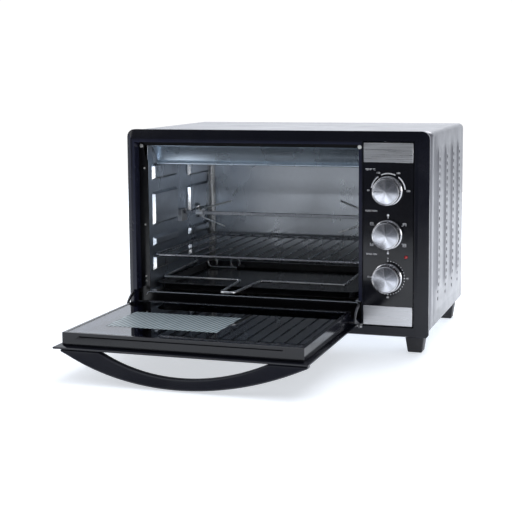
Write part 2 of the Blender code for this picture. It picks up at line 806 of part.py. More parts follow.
tool_x = (-0.2265, 0.1040)
grip_x = (-0.0815, -0.0465)
grip_end = (-0.0760, -0.0530)
bar_d = 0.0760
grip_d = -0.0430
tool_back = 0.2400
tool_points = [
    at(tool_x[0], tool_back, TOOL_Z + 0.004),
    at(tool_x[0], bar_d, TOOL_Z),
    at(grip_x[0], bar_d, TOOL_Z),
    at(grip_end[0], grip_d, TOOL_Z),
    at(grip_end[1], grip_d, TOOL_Z),
    at(grip_x[1], bar_d, TOOL_Z),
    at(tool_x[1], bar_d, TOOL_Z),
    at(tool_x[1], tool_back, TOOL_Z + 0.004),
]
wire("lifting_handle", rounded_route(tool_points, 0.008), TOOL_WIRE, "chrome_wire")


def hook(name, x):
    """A ring that is open at its lower inner side, for one end of the spit."""
    angles = [math.radians(-90 - 300 * i / 14) for i in range(15)]
    middle = HOOK_Z + HOOK_RADIUS
    points = [
        at(x + HOOK_RADIUS * math.cos(a), HOOK_D, middle + HOOK_RADIUS * math.sin(a))
        for a in angles
    ]
    return wire(name, points, HOOK_WIRE, "chrome_wire")


cross_ends = [at(-0.2090, HOOK_D, HOOK_Z), at(-0.1570, HOOK_D, HOOK_Z)]
cross = wire("spit_lifter", cross_ends, HOOK_WIRE, "chrome_wire")
hooks = [hook("hook_left", -0.2060), hook("hook_right", -0.1600)]
boolean(cross, joined("hooks", hooks, "chrome_wire"), "UNION")

# ---------------------------------------------------------------- door

door_axis = empty("door_axis", at(0.0, HINGE_D, HINGE_Z))


def opened(d, z):
    """Where a point of the closed door lies when the door is level."""
    return HINGE_D - (z - HINGE_Z), HINGE_Z + (d - HINGE_D)


def door_box(name, x, d, z, mat, parent=None):
    """A block given by the ranges that it has on the closed door."""
    far, low = opened(d[0], z[1])
    near, high = opened(d[1], z[0])
    return box(name, x, (far, near), (low, high), mat, parent)


frame = door_box("door_frame", DOOR_X, DOOR_FRAME_D, DOOR_Z, "door_black", door_axis)
inner_face = DOOR_FRAME_D[1]
seat_d = (inner_face - GLASS_THICK - 0.0006, inner_face + 0.01)
seat_x = (GLASS_X[0] - GAP, GLASS_X[1] + GAP)
seat_z = (GLASS_Z[0] - GAP, GLASS_Z[1] + GAP)
boolean(frame, door_box("glass_seat", seat_x, seat_d, seat_z, "zinc"))
boolean(frame, door_box("window_cut", DOOR_WINDOW_X, (-0.02, 0.04), DOOR_WINDOW_Z, "zinc"))
groove_z = (DOOR_Z[1] - 0.0025, DOOR_Z[1] + 0.01)
boolean(frame, door_box("top_groove", (-0.2130, 0.1060), (0.0128, 0.0146), groove_z, "zinc"))

glass_d = (seat_d[0] + GAP, seat_d[0] + GAP + GLASS_THICK)
door_box("door_glass", GLASS_X, glass_d, GLASS_Z, "glass", door_axis)

plate = door_box("door_plate", DOOR_PLATE_X, DOOR_PLATE_D, DOOR_PLATE_Z, "door_black", door_axis)
boolean(plate, door_box("plate_corner", (-0.26, -0.2464), (-0.02, 0.02), (0.04, 0.0600), "zinc"))
bevel(plate, 0.0007, 1)


def stay_ring():
    """A hinge leaf: its eye, its arm to the door and its quadrant into the body."""
    centre = (HINGE_D, HINGE_Z)
    outer = arc(centre, 0.037, 93, 163, 10)
    eye = arc(centre, 0.0045, -198, 118, 14)
    inner = arc(centre, 0.031, 150, 93, 8)
    return [*outer, *eye, *inner]


def door_stay(side, x, door_side):
    """A stay on the outside of the door, held off it by two studs."""
    hole = arc((HINGE_D, HINGE_Z), 0.0021, 0, 337.5, 15)
    rings = [stay_ring(), hole]
    name = f"door_stay_{side}"
    leaf = outline(name, rings, STAY_THICK, FACING_SIDE, at(x, 0, 0), "zinc", door_axis)
    near, far = sorted((x, door_side))
    studs = []
    for d, z in ((-0.0290, 0.0535), (-0.0200, 0.0520)):
        centre = at((near + far) / 2, d, z)
        stud = cone(f"stud_{side}_{d}", 0.0018, 0.0018, ALONG_X, centre, far - near, sides=14)
        studs.append(stud)
    boolean(leaf, joined(f"studs_{side}", studs, "zinc"), "UNION")


door_stay("left", STAY_X["left"], DOOR_X[0] - GAP)
door_stay("right", STAY_X["right"], DOOR_X[1] + GAP)


def bow(x, middle, half_width, drop):
    """How far a circular bow hangs below its chord at x, as a negative number."""
    radius = (half_width**2 + drop**2) / (2 * drop)
    return radius - drop - math.sqrt(radius**2 - (x - middle) ** 2)


def handle_section(x):
    """The handle's section at x in depth and z, leaning forward with its corners cut."""
    lean = math.radians(HANDLE_LEAN)
    inner_reach = HANDLE_INNER[1] * 1.1
    low = bow(x, *HANDLE_OUTER)
    high = HANDLE_TOP
    if abs(x - HANDLE_INNER[0]) < inner_reach:
        high = min(high, bow(x, *HANDLE_INNER))
    soft = min(HANDLE_SOFT, (high - low) * 0.4)
    inset = soft / HANDLE_DEEP
    corners = (
        (low, inset),
        (low, 1 - inset),
        (low + soft, 1),
        (high - soft, 1),
        (high, 1 - inset),
        (high, inset),
        (high - soft, 0),
        (low + soft, 0),
    )
    chord_d, chord_z = HANDLE_CHORD
    return [
        (chord_d + v * math.sin(lean) + HANDLE_DEEP * across, chord_z + v * math.cos(lean))
        for v, across in corners
    ]


def door_handle(count=36):
    """A bow-shaped grip under the front edge of the open door."""
    mesh = bpy.data.meshes.new("door_handle")
    shape = bmesh.new()
    rings = []
    for i in range(count + 1):
        x = HANDLE_OUTER[0] - HANDLE_HALF + 2 * HANDLE_HALF * i / count
        rings.append([shape.verts.new(at(x, d, z)) for d, z in handle_section(x)])
    for one, two in zip(rings, rings[1:]):
        for i, corner in enumerate(one):
            j = (i + 1) % len(one)
            shape.faces.new((corner, one[j], two[j], two[i]))
    shape.faces.new(rings[0])
    shape.faces.new(rings[-1])
    bmesh.ops.recalc_face_normals(shape, faces=shape.faces)
    shape.to_mesh(mesh)
    shape.free()
    smooth(place("door_handle", mesh, "handle_black", door_axis), 45)


door_handle()


def hinge_bracket(side, x, inward):
    """A knuckle on a tab of the bezel, with the pin that the door turns on."""
    length = 0.0032
    centre = at(x + inward * length / 2, HINGE_D, HINGE_Z)
    knuckle = cone(f"hinge_bracket_{side}", 0.0034, 0.0034, ALONG_X, centre, length, "zinc", 20)
    reach = 0.0130
    middle = at(x + inward * (reach / 2 + 0.0003), HINGE_D, HINGE_Z)
    pin = cone(f"pin_{side}", 0.0016, 0.0016, ALONG_X, middle, reach, "zinc", 16)
    tab_x = sorted((x, x + length * inward))
    tab = box(f"tab_{side}", tab_x, (HINGE_D, -GAP), (0.0460, 0.0482))
    boolean(knuckle, pin, "UNION")
    boolean(knuckle, tab, "UNION")


hinge_bracket("left", -0.2537, 1)
hinge_bracket("right", 0.1540, -1)

# ---------------------------------------------------------------- back

gland = [(0.0, 0.0080), (0.0045, 0.0080), (0.0062, 0.0066), (0.0072, 0.0), (0.0, 0.0)]
gland_base = at(0.1900, SHELL_END + SHEET + 2 * GAP, 0.0700)
turned("cord_gland", gland, (0, 1, 0), gland_base, "foot_black", 24)
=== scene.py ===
"""Looks of the counter-top rotisserie oven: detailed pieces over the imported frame, floor, lights and camera.

Frame: +X right along the front, +Y to the back, +Z up, metres. Depths written `d`
are measured behind the front plane of the bezel. The door is open at rest.
"""

import json
import math

import bmesh
import bpy
from mathutils import Matrix, Vector


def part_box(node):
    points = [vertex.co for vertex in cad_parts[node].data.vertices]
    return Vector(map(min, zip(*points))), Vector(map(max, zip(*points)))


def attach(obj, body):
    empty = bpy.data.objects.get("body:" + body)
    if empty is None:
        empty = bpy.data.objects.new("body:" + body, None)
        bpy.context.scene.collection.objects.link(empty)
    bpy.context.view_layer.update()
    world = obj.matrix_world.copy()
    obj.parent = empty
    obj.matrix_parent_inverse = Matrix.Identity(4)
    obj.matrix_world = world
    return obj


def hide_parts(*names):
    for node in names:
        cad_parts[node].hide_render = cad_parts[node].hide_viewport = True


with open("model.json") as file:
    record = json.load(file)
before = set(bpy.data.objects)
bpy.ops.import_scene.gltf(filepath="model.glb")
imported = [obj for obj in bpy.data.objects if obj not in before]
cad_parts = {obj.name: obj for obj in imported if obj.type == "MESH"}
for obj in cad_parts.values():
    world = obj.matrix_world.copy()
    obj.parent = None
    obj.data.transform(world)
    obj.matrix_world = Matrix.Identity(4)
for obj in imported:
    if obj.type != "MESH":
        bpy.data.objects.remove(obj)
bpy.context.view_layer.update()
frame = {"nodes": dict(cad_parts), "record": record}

NODES = frame["nodes"]
RECORD = frame["record"]
BODY_OF = {n: b for b, group in RECORD["behaviour"]["bodies"].items() for n in group}
FRONT_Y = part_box("bezel")[0].y


def at(x, d, z):
    """A point from x, the depth behind the bezel, and z."""
    return Vector((x, FRONT_Y + d, z))


# ---------------------------------------------------------------- materials


class Graph:
    """A material's nodes, with short calls for the ones used here."""

    def __init__(self, name):
        self.mat = bpy.data.materials.new(name)
        self.mat.use_nodes = True
        self.tree = self.mat.node_tree
        self.shader = self.tree.nodes["Principled BSDF"]
        self.coords = self.tree.nodes.new("ShaderNodeTexCoord").outputs["Object"]

    def link(self, out, target):
        self.tree.links.new(out, target)

    def node(self, kind, **values):
        made = self.tree.nodes.new(kind)
        for key, value in values.items():
            if key in made.inputs:
                if hasattr(value, "links") or hasattr(value, "is_linked"):
                    self.link(value, made.inputs[key])
                else:
                    made.inputs[key].default_value = value
            else:
                setattr(made, key, value)
        return made

    def spaced(self, scale):
        """Object coordinates, stretched by one factor per axis."""
        made = self.node("ShaderNodeMapping", Vector=self.coords)
        made.inputs["Scale"].default_value = scale
        return made.outputs["Vector"]

    def noise(self, scale, detail=4.0, stretch=(1, 1, 1), roughness=0.55):
        made = self.node(
            "ShaderNodeTexNoise", Vector=self.spaced(stretch), Scale=scale, Detail=detail, Roughness=roughness
        )
        return made.outputs["Fac"]

    def calc(self, operation, first, second=None):
        """One step of arithmetic on sockets or numbers."""
        made = self.tree.nodes.new("ShaderNodeMath")
        made.operation = operation
        for socket, value in zip(made.inputs, (first, second)):
            if isinstance(value, float):
                socket.default_value = value
            elif value is not None:
                self.link(value, socket)
        return made.outputs[0]

    def spread(self, value, low, high, start=0.3, end=0.7):
        """A value of 0 to 1 spread between two numbers."""
        made = self.tree.nodes.new("ShaderNodeMapRange")
        self.link(value, made.inputs["Value"])
        for key, number in (("From Min", start), ("From Max", end), ("To Min", low), ("To Max", high)):
            made.inputs[key].default_value = number
        return made.outputs["Result"]

    def blend(self, factor, first, second):
        """A colour between two colours."""
        made = self.tree.nodes.new("ShaderNodeMix")
        made.data_type = "RGBA"
        self.link(factor, made.inputs["Factor"])
        sockets = [s for s in made.inputs if s.type == "RGBA"]
        for socket, value in zip(sockets, (first, second)):
            if isinstance(value, tuple):
                socket.default_value = (*value, 1.0)
            else:
                self.link(value, socket)
        return [s for s in made.outputs if s.type == "RGBA"][0]

    def colour(self, out):
        self.link(out, self.shader.inputs["Base Color"])

    def rough(self, out):
        self.link(out, self.shader.inputs["Roughness"])

    def bump(self, out, distance, strength=1.0):
        made = self.tree.nodes.new("ShaderNodeBump")
        made.inputs["Distance"].default_value = distance
        made.inputs["Strength"].default_value = strength
        self.link(out, made.inputs["Height"])
        self.link(made.outputs["Normal"], self.shader.inputs["Normal"])

    def set(self, **values):
        for key, value in values.items():
            self.shader.inputs[key.replace("_", " ")].default_value = value


def shade(colour, factor):
    return tuple(min(1.0, c * factor) for c in colour)


def worn_and_highlit_edges(graph, base, edge, amount):
    """Mixes a lighter edge colour in where the surface is sharply convex: partly rubbed wear, partly a painted
    highlight along the edges.
    """
    pointed = graph.tree.nodes.new("ShaderNodeNewGeometry").outputs["Pointiness"]
    mask = graph.spread(pointed, 0.0, amount, 0.52, 0.62)
    return graph.blend(mask, base, edge)


def moulded(name, colour, rough, grain=0.00006, size=900.0, specular=0.5, edge=1.9, metallic=0.0, coat=0.0):
    """Moulded plastic: fine grain, soft patches of gloss, and convex edges painted lighter, partly rubbed wear
    and partly painted highlight.
    """
    g = Graph(name)
    patches = g.noise(9.0, 3.0)
    base = g.blend(g.spread(patches, 0, 1), shade(colour, 0.86), shade(colour, 1.16))
    # Convex edges painted lighter by the edge factor: part rubbed wear, part painted highlight.
    g.colour(worn_and_highlit_edges(g, base, shade(colour, edge), 0.6))
    g.rough(g.spread(g.noise(26.0, 5.0), rough - 0.05, rough + 0.06))
    g.bump(g.noise(size, 2.0), grain)
    g.set(Specular_IOR_Level=specular, Metallic=metallic, Coat_Weight=coat, Coat_Roughness=0.22)
    return g.mat


def enamel(name, colour, rough, specular=0.5):
    """Smooth baked enamel or gloss lacquer with a slight ripple and faint smears."""
    g = Graph(name)
    base = g.blend(g.spread(g.noise(7.0, 4.0), 0, 1), shade(colour, 0.8), shade(colour, 1.3))
    # Convex edges painted lighter: a painted highlight along the edges of the gloss black, with a little
    # rubbed wear.
    g.colour(worn_and_highlit_edges(g, base, shade(colour, 2.2), 0.5))
    g.rough(g.spread(g.noise(14.0, 6.0, (1, 1, 3)), rough * 0.7, rough * 1.5))
    g.bump(g.noise(55.0, 2.0), 0.00005, 0.6)
    g.set(Specular_IOR_Level=specular)
    return g.mat


def brushed(name, colour, rough, stretch):
    """Brushed metal: fine lines along the axis whose stretch factor is small."""
    g = Graph(name)
    lines = g.noise(700.0, 3.0, stretch)
    cloud = g.noise(6.0, 3.0)
    base = g.blend(g.spread(lines, 0, 1), shade(colour, 0.88), shade(colour, 1.12))
    g.colour(g.blend(g.spread(cloud, 0.0, 0.35), base, shade(colour, 0.92)))
    g.rough(g.spread(lines, rough - 0.05, rough + 0.08))
    g.bump(lines, 0.00003)
    g.set(Metallic=1.0)
    return g.mat


def spangled(name, colour, rough):
    """Galvanised sheet: large zinc crystals of slightly different tone and gloss."""
    g = Graph(name)
    cells = g.node("ShaderNodeTexVoronoi", Vector=g.spaced((1, 1, 1)), Scale=160.0)
    tone = g.node("ShaderNodeSeparateColor", Color=cells.outputs["Color"]).outputs["Red"]
    smear = g.noise(12.0, 5.0, (1, 1, 0.4))
    base = g.blend(g.spread(tone, 0, 1, 0, 1), shade(colour, 0.96), shade(colour, 1.04))
    smeared = g.blend(g.spread(smear, 0.0, 0.5), base, shade(colour, 0.84))
    # Convex edges, such as those of the pressed pads, painted much lighter: painted highlights.
    g.colour(worn_and_highlit_edges(g, smeared, shade(colour, 2.0), 0.9))
    g.rough(g.spread(smear, rough - 0.06, rough + 0.10))
    g.bump(g.noise(240.0, 3.0), 0.00003)
    g.set(Metallic=0.9)
    return g.mat


def plated(name, colour, rough, specks=0.10, metallic=1.0):
    """Plated wire or casting: drawn lines, cloudy plating and a few dull spots."""
    g = Graph(name)
    cloud = g.noise(40.0, 5.0)
    base = g.blend(g.spread(cloud, 0, 1), shade(colour, 1 - specks), shade(colour, 1 + specks))
    g.colour(base)
    g.rough(g.spread(cloud, rough * 0.7, rough * 1.6))
    g.bump(g.noise(420.0, 3.0), 0.00002)
    g.set(Metallic=metallic)
    return g.mat


def spun():
    """A disc of metal turned on a lathe: fine rings, and painted highlights and shade that spread out in rays
    from its middle, one side painted lighter.
    """
    g = Graph("spun_aluminium_painted_sheen")
    inside = g.tree.nodes.new("ShaderNodeTexCoord").outputs["Generated"]
    split = g.node("ShaderNodeSeparateXYZ", Vector=inside)
    across = g.calc("SUBTRACT", split.outputs["X"], 0.5)
    upward = g.calc("SUBTRACT", split.outputs["Z"], 0.5)
    angle = g.calc("ARCTAN2", upward, across)
    # Painted highlight and shade: one side of the disc lighter than the other, and six rays of light, standing
    # in for the reflections of spun metal.
    painted_lit_side = g.calc("COSINE", g.calc("ADD", angle, math.radians(135)))
    painted_glint_fans = g.calc("COSINE", g.calc("MULTIPLY", g.calc("ADD", angle, 0.35), 6.0))
    painted_sheen_fans = g.calc("ADD", painted_lit_side, g.calc("MULTIPLY", painted_glint_fans, 0.45))
    g.colour(g.blend(g.spread(painted_sheen_fans, 0, 1, -1.0, 1.0), (0.34, 0.35, 0.39), (0.90, 0.91, 0.97)))
    radius = g.calc("SQRT", g.calc("ADD", g.calc("POWER", across, 2.0), g.calc("POWER", upward, 2.0)))
    rings = g.calc("SINE", g.calc("MULTIPLY", radius, 420.0))
    g.rough(g.spread(rings, 0.24, 0.32, -1, 1))
    g.bump(rings, 0.000004)
    g.set(Metallic=1.0)
    return g.mat


def sheet_glass():
    """Grey-blue tinted glass with faint smears."""
    g = Graph("clear_glass")
    g.rough(g.spread(g.noise(18.0, 6.0, (1, 3, 1)), 0.005, 0.035))
    g.colour(g.blend(g.noise(5.0), (0.40, 0.43, 0.50), (0.46, 0.49, 0.56)))
    g.set(Transmission_Weight=1.0, IOR=1.52)
    return g.mat


def striped_film():
    """A pale film on the glass with narrow slanting stripes."""
    g = Graph("striped_film")
    turned_coords = g.node("ShaderNodeMapping", Vector=g.coords)
    turned_coords.inputs["Rotation"].default_value = (0, 0, math.radians(12))
    wave = g.node("ShaderNodeTexWave", Vector=turned_coords.outputs["Vector"], Scale=42.0, Distortion=0.0)
    mask = g.spread(wave.outputs["Fac"], 0, 1, 0.35, 0.60)
    base = g.blend(mask, (0.012, 0.028, 0.036), (0.46, 0.54, 0.57))
    g.colour(g.blend(g.spread(g.noise(30.0, 4.0), 0, 0.2), base, (0.16, 0.21, 0.24)))
    g.rough(g.spread(g.noise(60.0), 0.34, 0.48))
    g.bump(wave.outputs["Fac"], 0.00003)
    return g.mat


def lamp_lens():
    """Red lens plastic with a faint mottle of deeper and lighter red."""
    g = Graph("lamp_lens")
    g.colour(g.blend(g.noise(300.0, 2.0), (0.30, 0.004, 0.008), (0.55, 0.012, 0.02)))
    g.rough(g.spread(g.noise(90.0), 0.10, 0.22))
    g.set(Coat_Weight=0.6, Coat_Roughness=0.05)
    return g.mat


MATERIALS = {
    # The bezel's edge factor of 6 paints its convex rims much lighter: mostly a painted highlight, a little
    # rubbed wear.
    "bezel_black": moulded(
        "satin_black_moulding", (0.0040, 0.0045, 0.0095), 0.22, 0.00003, 1100.0, specular=0.36, edge=6.0
    ),
    "panel_black": enamel("gloss_black_panel", (0.0030, 0.0032, 0.0060), 0.10, 0.5),
    "shell_silver": moulded(
        "silver_paint", (0.165, 0.165, 0.182), 0.36, 0.00002, 1400.0, edge=1.25, metallic=0.9, coat=0.45
    ),
    "galvanised": spangled("zinc_coated_sheet", (0.50, 0.56, 0.64), 0.27),
    "enamel_black": enamel("black_enamel", (0.0050, 0.0050, 0.0060), 0.16, 0.4),
    "brushed_plate": brushed("brushed_steel_plate", (0.66, 0.66, 0.68), 0.30, (0.02, 1, 1)),
    "knob_metal": brushed("turned_aluminium", (0.62, 0.62, 0.65), 0.20, (1, 0.03, 1)),
    "chrome_wire": plated("chromed_wire", (0.90, 0.91, 0.94), 0.28),
    "zinc": plated("zinc_plated_steel", (0.50, 0.50, 0.51), 0.30, 0.15),
    "glass": sheet_glass(),
    "door_black": enamel("gloss_black_door", (0.0050, 0.0053, 0.0085), 0.12, 0.45),
    "handle_black": moulded("handle_plastic", (0.0100, 0.0108, 0.0175), 0.32, 0.00004, 1000.0, 0.45),
    "foot_black": moulded("foot_plastic", (0.0100, 0.0100, 0.0130), 0.50, 0.00008, 700.0, 0.4),
    "heater_steel": plated("heater_sheath", (0.16, 0.15, 0.14), 0.42, 0.30, 0.8),
    "lamp_red": lamp_lens(),
    "buffer_white": moulded("bumper_rubber", (0.62, 0.62, 0.60), 0.50, 0.00005, 900.0, 0.4, 1.1),
    "motor_grey": moulded("motor_case", (0.20, 0.20, 0.21), 0.50, 0.00006, 800.0, 0.4, 1.3),
}
MATERIALS["spun"] = spun()
MATERIALS["film"] = striped_film()
MATERIALS["rack_wire"] = plated("rack_wire", (0.40, 0.41, 0.44), 0.20)
MATERIALS["spit_steel"] = plated("spit_steel", (0.24, 0.25, 0.27), 0.22)
# A darker copy of the zinc-coated sheet for the deflector at the top of the mouth: painted shade.
MATERIALS["hood"] = spangled("shaded_hood_sheet", (0.34, 0.39, 0.44), 0.28)
MATERIALS["dark_zinc"] = plated("dark_zinc", (0.13, 0.13, 0.14), 0.40, 0.2)
MATERIALS["print"] = moulded("panel_print", (0.95, 0.95, 1.00), 0.45, 0.00001, 900.0, 0.4, 1.0)
# A flat black standing in for shade: behind the side holes and in the knobs' pointer lines.
MATERIALS["shade_black"] = moulded("painted_shade_black", (0.004, 0.004, 0.005), 0.60, 0.00004, 900.0, 0.3)

SLOT_OF = {}
for entry in RECORD["subparts"]:
    for node_name in entry.get("nodes", [entry.get("node")]):
        if node_name in NODES and entry.get("material_slot"):
            SLOT_OF[node_name] = entry["material_slot"]

# ---------------------------------------------------------------- shapes

FLAT_WITHIN = math.radians(0.6)


def piece(name, mesh, body, look, nodes=()):
    """A new piece that rides on a body, and stands for some CAD nodes."""
    mesh.materials.clear()
    mesh.materials.append(MATERIALS[look])
    made = bpy.data.objects.new(name, mesh)
    bpy.context.scene.collection.objects.link(made)
    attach(made, body)
    if nodes:
        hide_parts(*nodes)
    return made


def shaded(mesh, angle=40.0):
    """Smooth shading with edges sharper than the angle kept crisp."""
    mesh.shade_smooth()
    mesh.set_sharp_from_angle(angle=math.radians(angle))


def rounded(obj, width, segments=2, angle=30.0):
    """Rounds the sharp edges of a piece and keeps its flats flat."""
    made = obj.modifiers.new("Bevel", "BEVEL")
    made.width = width
    made.segments = segments
    made.limit_method = "ANGLE"
    made.angle_limit = math.radians(angle)
    made.harden_normals = True
    return obj


def from_bmesh(name, shape, angle=40.0):
    mesh = bpy.data.meshes.new(name)
    bmesh.ops.recalc_face_normals(shape, faces=shape.faces)
    shape.to_mesh(mesh)
    shape.free()
    shaded(mesh, angle)
    return mesh


def welded(mesh):
    """A mesh as an editable shape with its coincident points joined."""
    shape = bmesh.new()
    shape.from_mesh(mesh)
    bmesh.ops.remove_doubles(shape, verts=shape.verts, dist=1e-6)
    return shape


def cleaned(node):
    """The shape of a CAD node with its flat faces made whole."""
    shape = welded(NODES[node].data)
    bmesh.ops.dissolve_limit(
        shape,
        angle_limit=FLAT_WITHIN,
        verts=shape.verts,
        edges=shape.edges,
        use_dissolve_boundaries=False,
    )
    return shape


def restyled(node, name, look=None, width=0.0006, segments=2, angle=30.0, smooth=40.0):
    """A CAD node's shape as a finished piece with rounded edges."""
    slot = SLOT_OF.get(node)
    mesh = from_bmesh(name, cleaned(node), smooth)
    obj = piece(name, mesh, BODY_OF[node], look or slot, [node])
    if width:
        rounded(obj, width, segments, angle)
    return obj


def arc(centre, radius, start, end, count):
    """Points of an arc in a plane, angles in degrees."""
    angles = [math.radians(start + (end - start) * i / count) for i in range(count + 1)]
    return [(centre[0] + radius * math.cos(a), centre[1] + radius * math.sin(a)) for a in angles]


def curve_mesh(curve):
    """The surface of a curve or text, which is used up."""
    guide = bpy.data.objects.new(curve.name + "_guide", curve)
    bpy.context.scene.collection.objects.link(guide)
    bpy.context.view_layer.update()
    graph = bpy.context.evaluated_depsgraph_get()
    mesh = bpy.data.meshes.new_from_object(guide.evaluated_get(graph))
    bpy.data.objects.remove(guide)
    bpy.data.curves.remove(curve)
    return mesh


def tube_mesh(name, routes, radius, sides=4, cyclic=False):
    """Round wires along routes of points, as one mesh."""
    curve = bpy.data.curves.new(name, "CURVE")
    curve.dimensions = "3D"
    curve.bevel_depth = radius
    curve.bevel_resolution = sides
    curve.use_fill_caps = True
    for route in routes:
        spline = curve.splines.new("POLY")
        spline.points.add(len(route) - 1)
        for target, point in zip(spline.points, route):
            target.co = (*point, 1.0)
        spline.use_cyclic_u = cyclic
        spline.use_smooth = True
    mesh = curve_mesh(curve)
    mesh.name = name
    shape = welded(mesh)
    shape.to_mesh(mesh)
    shape.free()
    shaded(mesh, 50.0)
    return mesh


def joined_mesh(name, meshes, angle=50.0):
    """Several meshes as one."""
    shape = bmesh.new()
    for mesh in meshes:
        shape.from_mesh(mesh)
    return from_bmesh(name, shape, angle)


def turned_mesh(name, profile, axis, centre, steps=64, angle=35.0):
    """A turned shape. The profile is (radius, height) along the axis."""
    shape = bmesh.new()
    frame_of_axis = Vector(axis).to_track_quat("Z", "Y").to_matrix()
    rings = []
    for radius, height in profile:
        if radius < 1e-7:
            rings.append([shape.verts.new(Vector(centre) + frame_of_axis @ Vector((0, 0, height)))])
            continue
        ring = []
        for i in range(steps):
            a = 2 * math.pi * i / steps
            local = Vector((radius * math.cos(a), radius * math.sin(a), height))
            ring.append(shape.verts.new(Vector(centre) + frame_of_axis @ local))
        rings.append(ring)
    for one, two in zip(rings, rings[1:]):
        for i in range(steps):
            j = (i + 1) % steps
            corners = [one[i % len(one)], one[j % len(one)], two[j % len(two)], two[i % len(two)]]
            unique = list(dict.fromkeys(corners))
            if len(unique) > 2:
                shape.faces.new(unique)
    return from_bmesh(name, shape, angle)


def block_mesh(name, x, d, z):
    """A block from its ranges, for a piece that is then bevelled."""
    shape = bmesh.new()
    centre = at((x[0] + x[1]) / 2, (d[0] + d[1]) / 2, (z[0] + z[1]) / 2)
    size = Matrix.Diagonal((x[1] - x[0], d[1] - d[0], z[1] - z[0], 1.0))
    bmesh.ops.create_cube(shape, size=1.0, matrix=Matrix.Translation(centre) @ size)
    return from_bmesh(name, shape)


def flat_mesh(name, rings, thickness, place):
    """A flat plate cut from rings of (u, v): `place` turns (u, v, w) into a point."""
    curve = bpy.data.curves.new(name, "CURVE")
    curve.dimensions = "2D"
    curve.fill_mode = "BOTH"
    curve.extrude = thickness / 2
    for ring in rings:
        spline = curve.splines.new("POLY")
        spline.points.add(len(ring) - 1)
        for target, (u, v) in zip(spline.points, ring):
            target.co = (u, v, 0.0, 1.0)
        spline.use_cyclic_u = True
    shape = welded(curve_mesh(curve))
    for vert in shape.verts:
        vert.co = place(*vert.co)
    return from_bmesh(name, shape)


def strip_mesh(name, section, x, thickness):
    """A strip along X, folded along a section in depth and z, made solid."""
    shape = bmesh.new()
    columns = [[shape.verts.new(at(u, d, z)) for d, z in section] for u in x]
    for one, two in zip(columns, columns[1:]):
        for i in range(len(section) - 1):
            shape.faces.new((one[i], two[i], two[i + 1], one[i + 1]))
    bmesh.ops.recalc_face_normals(shape, faces=shape.faces)
    bmesh.ops.solidify(shape, geom=shape.faces[:], thickness=thickness)
    return from_bmesh(name, shape, 55.0)


def rounded_route(points, radius, count=8):
    """A route through these points with its inner corners rounded."""
    route = [points[0]]
    for before, corner, after in zip(points, points[1:], points[2:]):
        start = corner + (before - corner).normalized() * radius
        end = corner + (after - corner).normalized() * radius
        for i in range(count + 1):
            t = i / count
            route.append(start * (1 - t) ** 2 + corner * 2 * t * (1 - t) + end * t**2)
    route.append(points[-1])
    return route


# ---------------------------------------------------------------- outer body

restyled("bezel", "bezel_moulding", width=0.0011, segments=3, angle=18.0)

SHELL_HALF_WIDTH = 0.258
SHELL_TOP = 0.3575
SHELL_BOTTOM = 0.037
SHELL_CORNER = 0.009
SHELL_D = (0.0123, 0.350)
RIB_DEPTHS = (0.100, 0.172, 0.238, 0.300)
RIB_HALF = 0.0125
RIB_SLOPE = 0.003
RIB_HEIGHT = 0.0017
RIB_Z = (0.088, 0.333)
RIB_TAPER = 0.016
HOLE_TOP = 0.3095
HOLE_PITCH = 0.0123
HOLES = 20
HOLE_RADIUS = 0.0031
HOLE_LIP = 1.25
HOLE_SINK = 0.0005
FOLD_D = 0.057
FOLD_HALF = 0.0015
FOLD_DEEP = 0.0006
SHELL_SHEET = 0.0009
# Where the black sheets stand just inside the side walls: painted shade seen through the holes.
SHADE_SHEET_X = (0.2552, 0.2555)
SHADE_SHEET_D = (0.030, 0.345)
SHADE_SHEET_Z = (0.045, 0.345)


def rib_height(d, z):
    """How far the side wall stands out at this depth and height."""
    along = max(0.0, min(1.0, (z - RIB_Z[0]) / RIB_TAPER, (RIB_Z[1] - z) / RIB_TAPER))
    out = 0.0
    for centre in RIB_DEPTHS:
        across = max(0.0, min(1.0, (RIB_HALF - abs(d - centre)) / RIB_SLOPE))
        out = max(out, across)
    return RIB_HEIGHT * along * out


